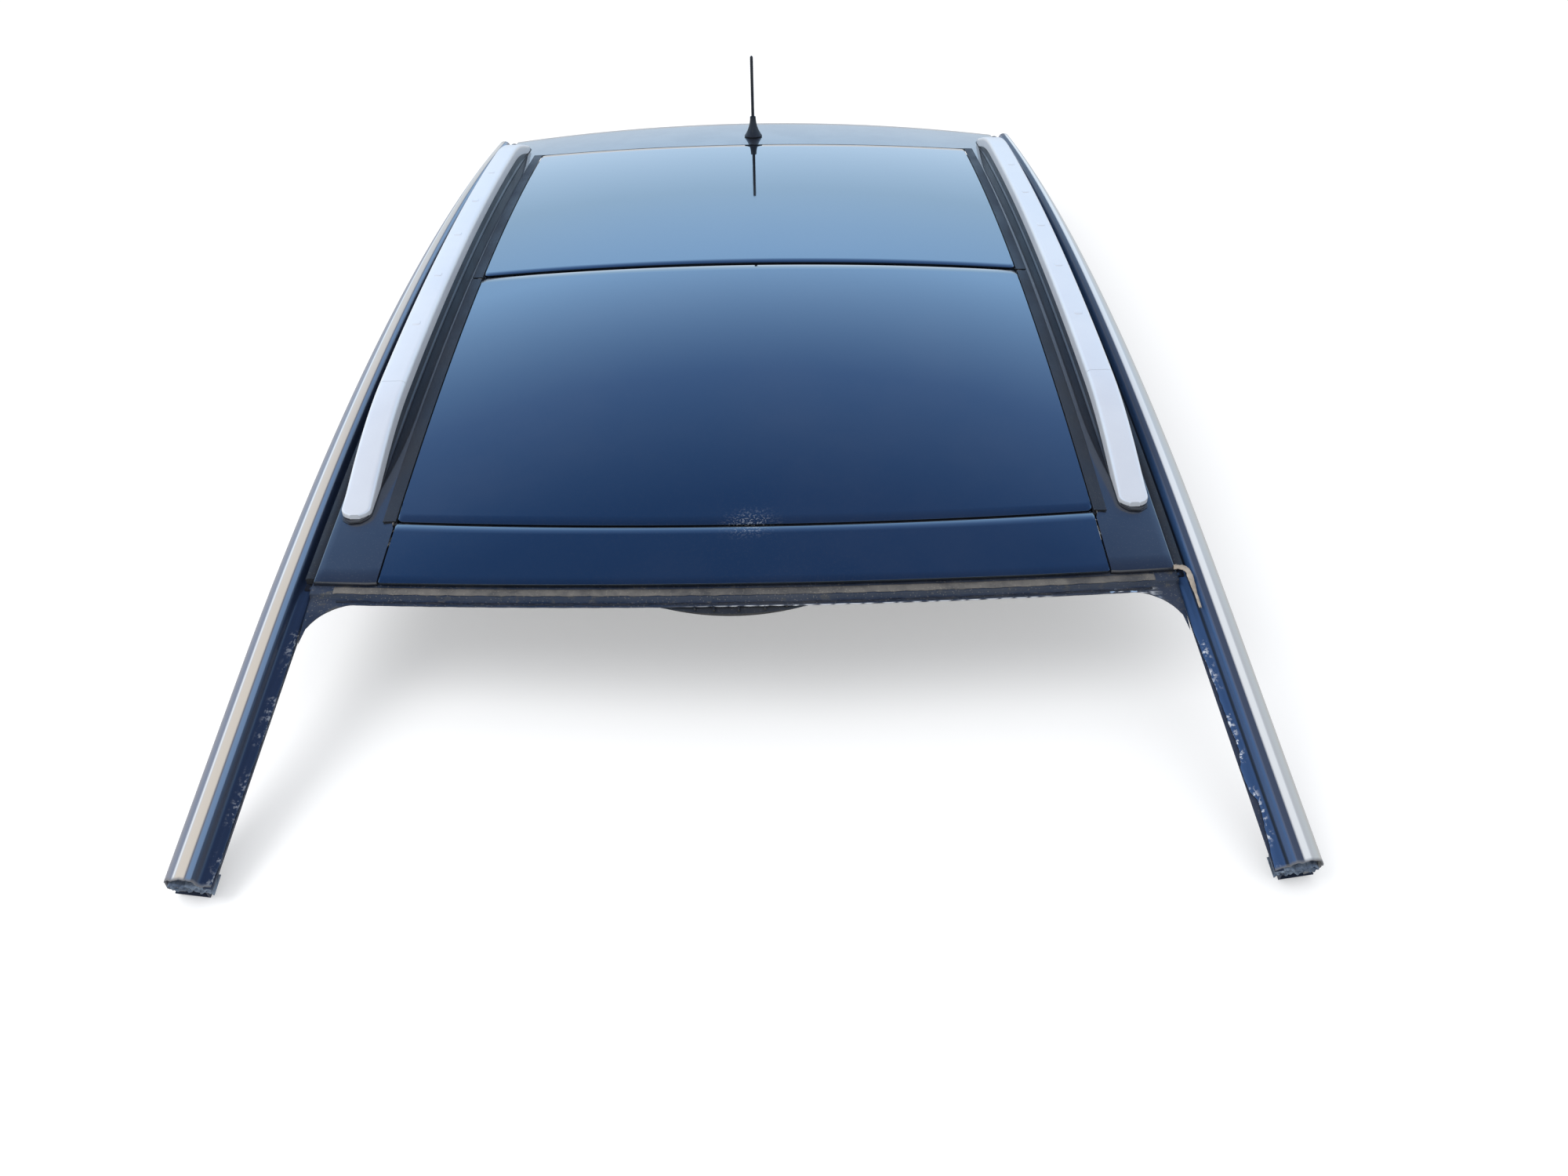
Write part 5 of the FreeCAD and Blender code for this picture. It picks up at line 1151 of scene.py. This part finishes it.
@dataclass
class Header:
    """Windscreen header: step, riser and bonding flange that runs into the pillar flanges."""

    half: float = 0.559
    step_drop: float = 0.007
    flange_drop: float = 0.014
    step_reach: float = 0.0145
    flange_reach: float = 0.0245
    step_back: float = 0.052
    gusset: float = 0.062
    bracket_x: float = -0.012
    bracket_half: float = 0.093
    bracket_reach: float = 0.012
    bracket_ribs: tuple[float, ...] = (-0.060, -0.036, -0.005, 0.028, 0.055)
    corner_x: float = 0.5615
    edge: Bow = Bow(-0.746, 0.559, 0.049)
    steel: float = 0.0016

    def build(self, pillars: Pillars) -> None:
        """Makes the header, the old adhesive and the mirror bracket."""
        x = np.linspace(-self.corner_x, self.corner_x, 241)
        bow = self.edge.at(np.clip(x, -self.half, self.half))[None, :]
        past = np.clip(np.abs(x) - (self.corner_x - self.gusset), 0, self.gusset)
        reach = self.gusset - np.sqrt(self.gusset**2 - past**2)
        ragged = 0.0003 * ripple(x, 150.0, 1.0)
        back = bow + self.step_back
        step = bow - self.step_reach
        front = bow - self.flange_reach - reach[None, :] + ragged[None, :]
        rows = [
            (back, -self.step_drop),
            (back * 0.5 + step * 0.5, -self.step_drop),
            (step + 0.0025, -self.step_drop),
            (step + 0.0006, -self.step_drop - 0.0008),
            (step, -self.step_drop - 0.0025),
            (step - 0.0004, -self.flange_drop + 0.0022),
            (step - 0.0012, -self.flange_drop + 0.0006),
            (step - 0.003, -self.flange_drop),
        ]
        shares = np.linspace(0, 1, 15)[1:]
        y = np.concatenate([r[0] for r in rows] + [step - 0.003 + (front - step + 0.003) * s for s in shares])
        over = np.concatenate([np.full(len(rows), 0.0), np.full(len(shares), -self.flange_drop)])
        over[: len(rows)] = [r[1] for r in rows]
        spine, _, _ = pillars.route()
        flange_z = np.interp(-y, -spine[:, 1], spine[:, 2])
        height = ROOF.height(np.broadcast_to(x, y.shape), y, over[:, None])
        toward = smooth_step(past, 0.0, self.gusset)[None, :]
        ahead = np.clip((step - 0.003 - y) / np.maximum(step - 0.003 - front, 1e-6), 0, 1)
        z = height + (flange_z + 0.0018 - height) * toward * ahead
        order = slice(None, None, -1)
        blotch = ripple(x[None, :] + 0.3 * y, 260.0, 2.0) + ripple(y - 0.2 * x[None, :], 700.0, 6.0)
        broken = smooth_step(ripple(x, 330.0, 9.0), -0.3, 0.1) * smooth_step(x, -0.1, 0.02)
        broken = broken * (1 - smooth_step(x, 0.36, 0.42))
        rim = smooth_step(ahead, 0.90, 0.985) * broken[None, :]
        patch = (smooth_step(x, 0.46, 0.475) * (1 - smooth_step(x, 0.515, 0.54)))[None, :]
        patch = patch * smooth_step(ahead, 0.02, 0.2)
        primer = np.clip(1.3 * patch, 0, 1)
        chipped = np.clip(rim * 0.8 + patch * smooth_step(blotch, 0.15, 0.5) * 0.7, 0, 1)
        corner = smooth_step(np.abs(x), 0.44, 0.53)[None, :] * smooth_step(ripple(y, 260.0, 3.0), -0.6, 0.4)
        near_step = smooth_step(blotch, -0.2, 1.1) * (1 - smooth_step(ahead, 0.1, 0.6))
        grime = np.clip(0.6 * near_step + 0.6 * corner * (1 - chipped), 0, 1)
        marks = {"chipped": chipped, "grime": grime, "primer": primer}
        sheet = Patchwork()
        grid = np.stack([np.broadcast_to(x, y.shape), y, z], axis=-1)
        full = {name: np.broadcast_to(mark, y.shape)[order] for name, mark in marks.items()}
        sheet.add(grid[order], **full)
        thing = thicken(sheet.build("header_flange", closed=False), self.steel)
        WARDROBE.fit(thing, "flange_primer", "roof", "windscreen_header")
        self._adhesive()
        self._dirt_band()
        self._bracket()

    def _adhesive(self) -> None:
        """Torn adhesive along the flange: a low bead whose width and height wander."""
        x = np.linspace(-0.525, 0.525, 700)
        bow = self.edge.at(x)
        across = np.linspace(0, 1, 9)
        width = 0.004 * (1 + 0.35 * ripple(x, 120.0, 3.0))
        tall = 0.0016 * np.clip(0.55 + 0.6 * ripple(x, 210.0, 7.0), 0.08, 1.2)
        middle = bow - 0.0202 + 0.0006 * ripple(x, 60.0, 1.0)
        y = middle[:, None] + (across[None, :] - 0.5) * width[:, None]
        bumps = 0.0005 * ripple(x[:, None] * 3.0 + across[None, :] * 0.02, 300.0, 5.0)
        over = -self.flange_drop + 0.0002 + (tall[:, None] + bumps) * np.sin(math.pi * across)[None, :]
        bead = Patchwork()
        grid = ROOF.points(np.broadcast_to(x[:, None], y.shape), y, over)
        bead.add(grid[::-1])
        thing = thicken(bead.build("adhesive_bead", closed=False), 0.0004)
        WARDROBE.fit(thing, "urethane_bead", "roof", "windscreen_bead")

    def _bracket(self) -> None:
        """Mirror bracket under the flange's edge: a bowed plate with a rolled lip and cross ribs.

        The front edge starts behind the flange's edge and stands out by reach
        times (1 - t^2), t running from -1 to 1 over the bracket's width.
        """
        x = np.linspace(self.bracket_x - self.bracket_half, self.bracket_x + self.bracket_half, 81)
        t = (x - self.bracket_x) / self.bracket_half
        bow = self.edge.at(x)
        swell = np.maximum(1 - t**2, 0)
        back = bow - self.flange_reach + 0.012
        front = bow - self.flange_reach + 0.005 - self.bracket_reach * swell
        share = np.linspace(0, 1, 15)[:, None]
        y = back + (front - back) * share
        over = -self.flange_drop - self.steel - 0.0006 - 0.004 * share**3 * np.ones_like(x)
        plate = Patchwork()
        top = ROOF.points(np.broadcast_to(x, y.shape), y, over)
        lip_y = np.stack([front, front + 0.0004, front + 0.0006])
        lip_over = over[-1] - np.array([0.0, 0.002, 0.004])[:, None] * swell
        plate.add(top[::-1])
        plate.add(ROOF.points(np.broadcast_to(x, lip_y.shape), lip_y, lip_over)[::-1])
        for at in self.bracket_ribs:
            low = np.interp(at, x, front)
            line_y = np.linspace(low + 0.0006, low + 0.010, 9)
            deep = -self.flange_drop - 0.0035 + np.array([0.0, 0.0022])[:, None] + 0.0 * line_y
            for edge_x in (at - 0.0006, at + 0.0006):
                plate.add(ROOF.points(np.full(deep.shape, edge_x), np.broadcast_to(line_y, deep.shape), deep))
            crest = ROOF.points(np.array([[at - 0.0006], [at + 0.0006]]), line_y[None, :], deep[-1])
            plate.add(crest)
        thing = thicken(plate.build("bracket_plate", closed=False), 0.0012)
        WARDROBE.fit(thing, "moulded_plastic", "roof", "mirror_bracket")

    def _dirt_band(self) -> None:
        """Old grey-beige sealer on the step in front of the glass, a thin uneven skin."""
        x = np.linspace(-0.53, 0.53, 520)
        bow = self.edge.at(x)
        across = np.linspace(0, 1, 7)
        ragged = 0.0009 * ripple(x, 140.0, 8.0)
        y = (bow - 0.0012)[:, None] + across[None, :] * (-0.0122 + ragged)[:, None]
        bulge = 0.0011 * np.sin(math.pi * across)[None, :] * (0.6 + 0.4 * ripple(x, 90.0, 2.0))[:, None]
        over = -self.step_drop + 0.0003 + bulge
        band = Patchwork()
        band.add(ROOF.points(np.broadcast_to(x[:, None], y.shape), y, over))
        thing = thicken(band.build("step_sealer", closed=False), 0.0003)
        WARDROBE.fit(thing, "step_dust", "roof")


@dataclass
class Antenna:
    """Cone foot and flexible mast, square to the roof's surface."""

    y: float = 0.930
    foot_radius: float = 0.020
    neck_radius: float = 0.0065
    foot_height: float = 0.044
    mast_radius: float = 0.0034
    mast_length: float = 0.128

    def _lathe(self, name: str, radius: Array, height: Array, node: str, finish: str) -> None:
        """Turns a profile about the antenna's axis.

        Args:
            name: the piece's name.
            radius: the profile's radii from the bottom up.
            height: the profile's heights over the roof.
            node: the CAD node that it replaces.
            finish: the finish's name.
        """
        lean = math.asin((self.y - ROOF.apex_y) / ROOF.along)
        base = ROOF.height(0.0, self.y)
        turn = np.linspace(0, 2 * math.pi, 33)[:-1]
        x = radius[:, None] * np.cos(turn)
        flat = radius[:, None] * np.sin(turn)
        rise = np.broadcast_to(height[:, None], x.shape)
        y = self.y + flat * math.cos(lean) + rise * math.sin(lean)
        z = base - flat * math.sin(lean) + rise * math.cos(lean)
        piece = Patchwork()
        piece.add(np.stack([x, y, z], axis=-1), wrap=True, caps=True)
        WARDROBE.fit(piece.build(name), finish, "roof", node)

    def build(self) -> None:
        """Makes the foot with its skirt and the ribbed mast."""
        share = np.linspace(0, 1, 24)
        flare = self.neck_radius + (self.foot_radius - self.neck_radius) * (1 - share) ** 2.2
        skirt = [self.foot_radius * 0.97, self.foot_radius]
        radius = np.concatenate([skirt, flare[1:], [self.neck_radius * 0.8]])
        flare_height = 0.002 + share[1:] * (self.foot_height - 0.003)
        height = np.concatenate([[0.0004, 0.002], flare_height, [self.foot_height]])
        self._lathe("antenna_foot", radius, height, "antenna_base", "moulded_plastic")
        along = np.linspace(0, 1, 160)
        ribs = self.mast_radius * (0.93 + 0.07 * np.abs(np.sin(along * math.pi * 26)))
        ribs[along < 0.12] = self.mast_radius
        ribs[-6:] *= np.array([1.0, 0.98, 0.9, 0.75, 0.5, 0.2])
        start = self.foot_height + 0.0003
        rise = start + along * (self.mast_length - 0.0004)
        self._lathe("antenna_rod", ribs, rise, "antenna_mast", "rubber")


@dataclass
class ShadeCloth:
    """Roller shade cloth, stretched level between the guide rails."""

    half: float = 0.443
    front: float = -0.5718
    rear: float = 0.7945
    drop: float = 0.041
    guide_x: float = 0.478
    thickness: float = 0.0012

    def build(self) -> None:
        """Makes the cloth as a thickened sheet on its own mesh."""
        y = np.linspace(self.front, self.rear, 120)
        x = np.linspace(-self.half, self.half, 41)
        base = float(ROOF.crown(self.guide_x)) - self.drop
        grid = np.stack(
            [np.broadcast_to(x, (len(y), len(x))), np.broadcast_to(y[:, None], (len(y), len(x))),
             np.broadcast_to((ROOF.height(0.0, y) + base)[:, None], (len(y), len(x)))], axis=-1
        ).copy()
        sag = 0.0006 * np.cos(math.pi * x / self.half / 2)
        grid[..., 2] -= sag[None, :] * (1 + 0.3 * ripple(y, 30.0, 1.0))[:, None]
        cloth = Patchwork()
        cloth.add(grid)
        thing = thicken(cloth.build("shade_fabric", closed=False), self.thickness)
        WARDROBE.fit(thing, "shade_cloth_fabric", "roof", "shade_cloth")
        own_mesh(thing)


@dataclass
class Inside:
    """CAD nodes that keep their shape and get a finish."""

    finishes: dict[str, tuple[str, ...]] = field(
        default_factory=lambda: {
            "inner_primer": ("pillar_inner_left", "pillar_inner_right", "rear_pillar_left",
                             "rear_pillar_right", "header_inner", "rear_header", "centre_beam",
                             "rear_beam", "front_frame"),
            "drawn_aluminium": ("guide_rail_left", "guide_rail_right", "shade_roller", "shade_pull_bar"),
            "rubber": ("glass_seal", "cross_seal", "drain_spouts"),
            "moulded_plastic": ("wind_deflector", "deflector_pivots", "glass_motor", "roller_brackets"),
            "urethane_bead": ("strip_bond", "rear_glass_bond", "bracket_bond"),
            "zinc_steel": ("slide_shoe_left", "slide_shoe_right", "lift_lever_left", "lift_lever_right",
                           "glass_bracket_left", "glass_bracket_right", "frame_screws", "antenna_nut",
                           "drive_pinion", "drive_cable_front", "drive_cable_rear"),
        }
    )

    def build(self, nodes: dict[str, bpy.types.Object]) -> None:
        """Dresses each node."""
        for finish, names in self.finishes.items():
            for name in names:
                WARDROBE.dress(nodes[name], finish)
            LOG.info("%s on %d nodes", finish, len(names))


@dataclass
class Studio:
    """Pale floor, soft light and the camera at the photograph's angle."""

    focal_pixels: float = 1670.0
    picture_width: float = 2000.0
    pitch: float = 36.99
    yaw: float = -0.09
    roll: float = -0.89
    place: Point = (0.049, -2.063, 1.184)
    sky: tuple[tuple[float, Point], ...] = (
        (0.0, (0.50, 0.55, 0.60)),
        (0.12, (0.42, 0.56, 0.72)),
        (0.25, (0.35, 0.52, 0.71)),
        (0.39, (0.36, 0.60, 0.93)),
        (0.56, (0.12, 0.24, 0.50)),
        (0.70, (0.045, 0.12, 0.31)),
        (1.0, (0.032, 0.078, 0.21)),
    )
    sky_strength: float = 2.0

    def build(self) -> None:
        """Makes floor, world, lamps and camera."""
        self._floor()
        self._world()
        self._lamps()
        self._camera()

    def _floor(self) -> None:
        """A wide plain floor under the feet."""
        reach = 14.0
        x, y = np.meshgrid(np.linspace(-reach, reach, 9), np.linspace(-reach, reach, 9))
        floor = Patchwork()
        floor.add(np.stack([x, y, np.full_like(x, -0.0005)], axis=-1))
        thing = floor.build("floor", closed=False)
        material = bpy.data.materials.new("floor_paper")
        material.use_nodes = True
        tree = material.node_tree
        shader = tree.nodes["Principled BSDF"]
        shader.inputs["Base Color"].default_value = (0.72, 0.72, 0.72, 1)
        shader.inputs["Roughness"].default_value = 0.9
        shader.inputs["Specular IOR Level"].default_value = 0.1
        seen = tree.nodes.new("ShaderNodeLightPath")
        lift = tree.nodes.new("ShaderNodeMath")
        lift.operation = "MULTIPLY"
        lift.inputs[1].default_value = 0.34
        tree.links.new(seen.outputs["Is Camera Ray"], lift.inputs[0])
        tree.links.new(lift.outputs["Value"], shader.inputs["Emission Strength"])
        shader.inputs["Emission Color"].default_value = (1, 1, 1, 1)
        thing.data.materials.append(material)

    def _world(self) -> None:
        """White to the camera, an even light on surfaces, and a soft sky gradient in reflections."""
        world = bpy.data.worlds.new("studio")
        bpy.context.scene.world = world
        world.use_nodes = True
        tree = world.node_tree
        background = tree.nodes["Background"]
        direction = tree.nodes.new("ShaderNodeTexCoord")
        parts = tree.nodes.new("ShaderNodeSeparateXYZ")
        sky = tree.nodes.new("ShaderNodeValToRGB")
        sky.color_ramp.elements.remove(sky.color_ramp.elements[1])
        for height, colour in self.sky:
            stop = sky.color_ramp.elements.new(height) if height else sky.color_ramp.elements[0]
            stop.position = height
            stop.color = (*colour, 1)
        bright = tree.nodes.new("ShaderNodeVectorMath")
        bright.operation = "SCALE"
        bright.inputs["Scale"].default_value = self.sky_strength
        tree.links.new(sky.outputs["Color"], bright.inputs[0])
        path = tree.nodes.new("ShaderNodeLightPath")
        plain = tree.nodes.new("ShaderNodeMix")
        plain.data_type = "RGBA"
        colours = [s for s in plain.inputs if s.type == "RGBA"]
        colours[0].default_value = (0.95, 0.97, 1.0, 1)
        tree.links.new(direction.outputs["Generated"], parts.inputs["Vector"])
        tree.links.new(parts.outputs["Z"], sky.inputs["Fac"])
        tree.links.new(path.outputs["Is Glossy Ray"], plain.inputs["Factor"])
        tree.links.new(bright.outputs["Vector"], colours[1])
        shown = tree.nodes.new("ShaderNodeMix")
        shown.data_type = "RGBA"
        seen = [s for s in shown.inputs if s.type == "RGBA"]
        tree.links.new(path.outputs["Is Camera Ray"], shown.inputs["Factor"])
        tree.links.new([s for s in plain.outputs if s.type == "RGBA"][0], seen[0])
        seen[1].default_value = (1, 1, 1, 1)
        tree.links.new([s for s in shown.outputs if s.type == "RGBA"][0], background.inputs["Color"])
        background.inputs["Strength"].default_value = 1.0

    def _lamps(self) -> None:
        """A large soft lamp from the front left, which smooth glass doesn't mirror."""
        lamp = bpy.data.lights.new("key", "AREA")
        lamp.shape = "DISK"
        lamp.size = 2.6
        lamp.energy = 60.0
        thing = bpy.data.objects.new("key", lamp)
        thing.location = (-2.4, -1.6, 3.2)
        aim = Vector((0.0, -0.2, 0.2)) - Vector(thing.location)
        thing.rotation_euler = aim.to_track_quat("-Z", "Y").to_euler()
        thing.visible_glossy = False
        bpy.context.scene.collection.objects.link(thing)

    def _camera(self) -> None:
        """Camera fitted to the photograph: pitched down, with a slight yaw and roll."""
        pitch, yaw, roll = (math.radians(a) for a in (self.pitch, self.yaw, self.roll))
        level = np.array(
            [[1, 0, 0], [0, math.sin(pitch), math.cos(pitch)], [0, math.cos(pitch), -math.sin(pitch)]]
        )
        turn = np.array([[math.cos(yaw), math.sin(yaw), 0], [-math.sin(yaw), math.cos(yaw), 0], [0, 0, 1]])
        tilt = np.array([[math.cos(roll), math.sin(roll), 0], [-math.sin(roll), math.cos(roll), 0], [0, 0, 1]])
        right, up, ahead = tilt @ level @ turn
        camera = bpy.data.cameras.new("camera")
        camera.sensor_width = 36.0
        camera.sensor_fit = "HORIZONTAL"
        camera.lens = self.focal_pixels / self.picture_width * camera.sensor_width
        camera.clip_end = 60.0
        thing = bpy.data.objects.new("camera", camera)
        matrix = Matrix([list(right), list(up), list(-ahead)]).transposed().to_4x4()
        matrix.translation = Vector(self.place)
        thing.matrix_world = matrix
        bpy.context.scene.collection.objects.link(thing)
        bpy.context.scene.camera = thing


def main() -> None:
    """Builds the pieces in order, then the studio."""
    logging.basicConfig(level=logging.INFO, format="%(name)s: %(message)s")
    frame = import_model()
    bpy.context.scene.view_settings.view_transform = "Standard"
    Inside().build(frame["nodes"])
    RoofPanel().build()
    GlassPanels().build()
    Trims().build()
    pillars = Pillars()
    pillars.build()
    Header().build(pillars)
    Rails().build()
    Antenna().build()
    ShadeCloth().build()
    Studio().build()


if __name__ == "__main__":
    main()
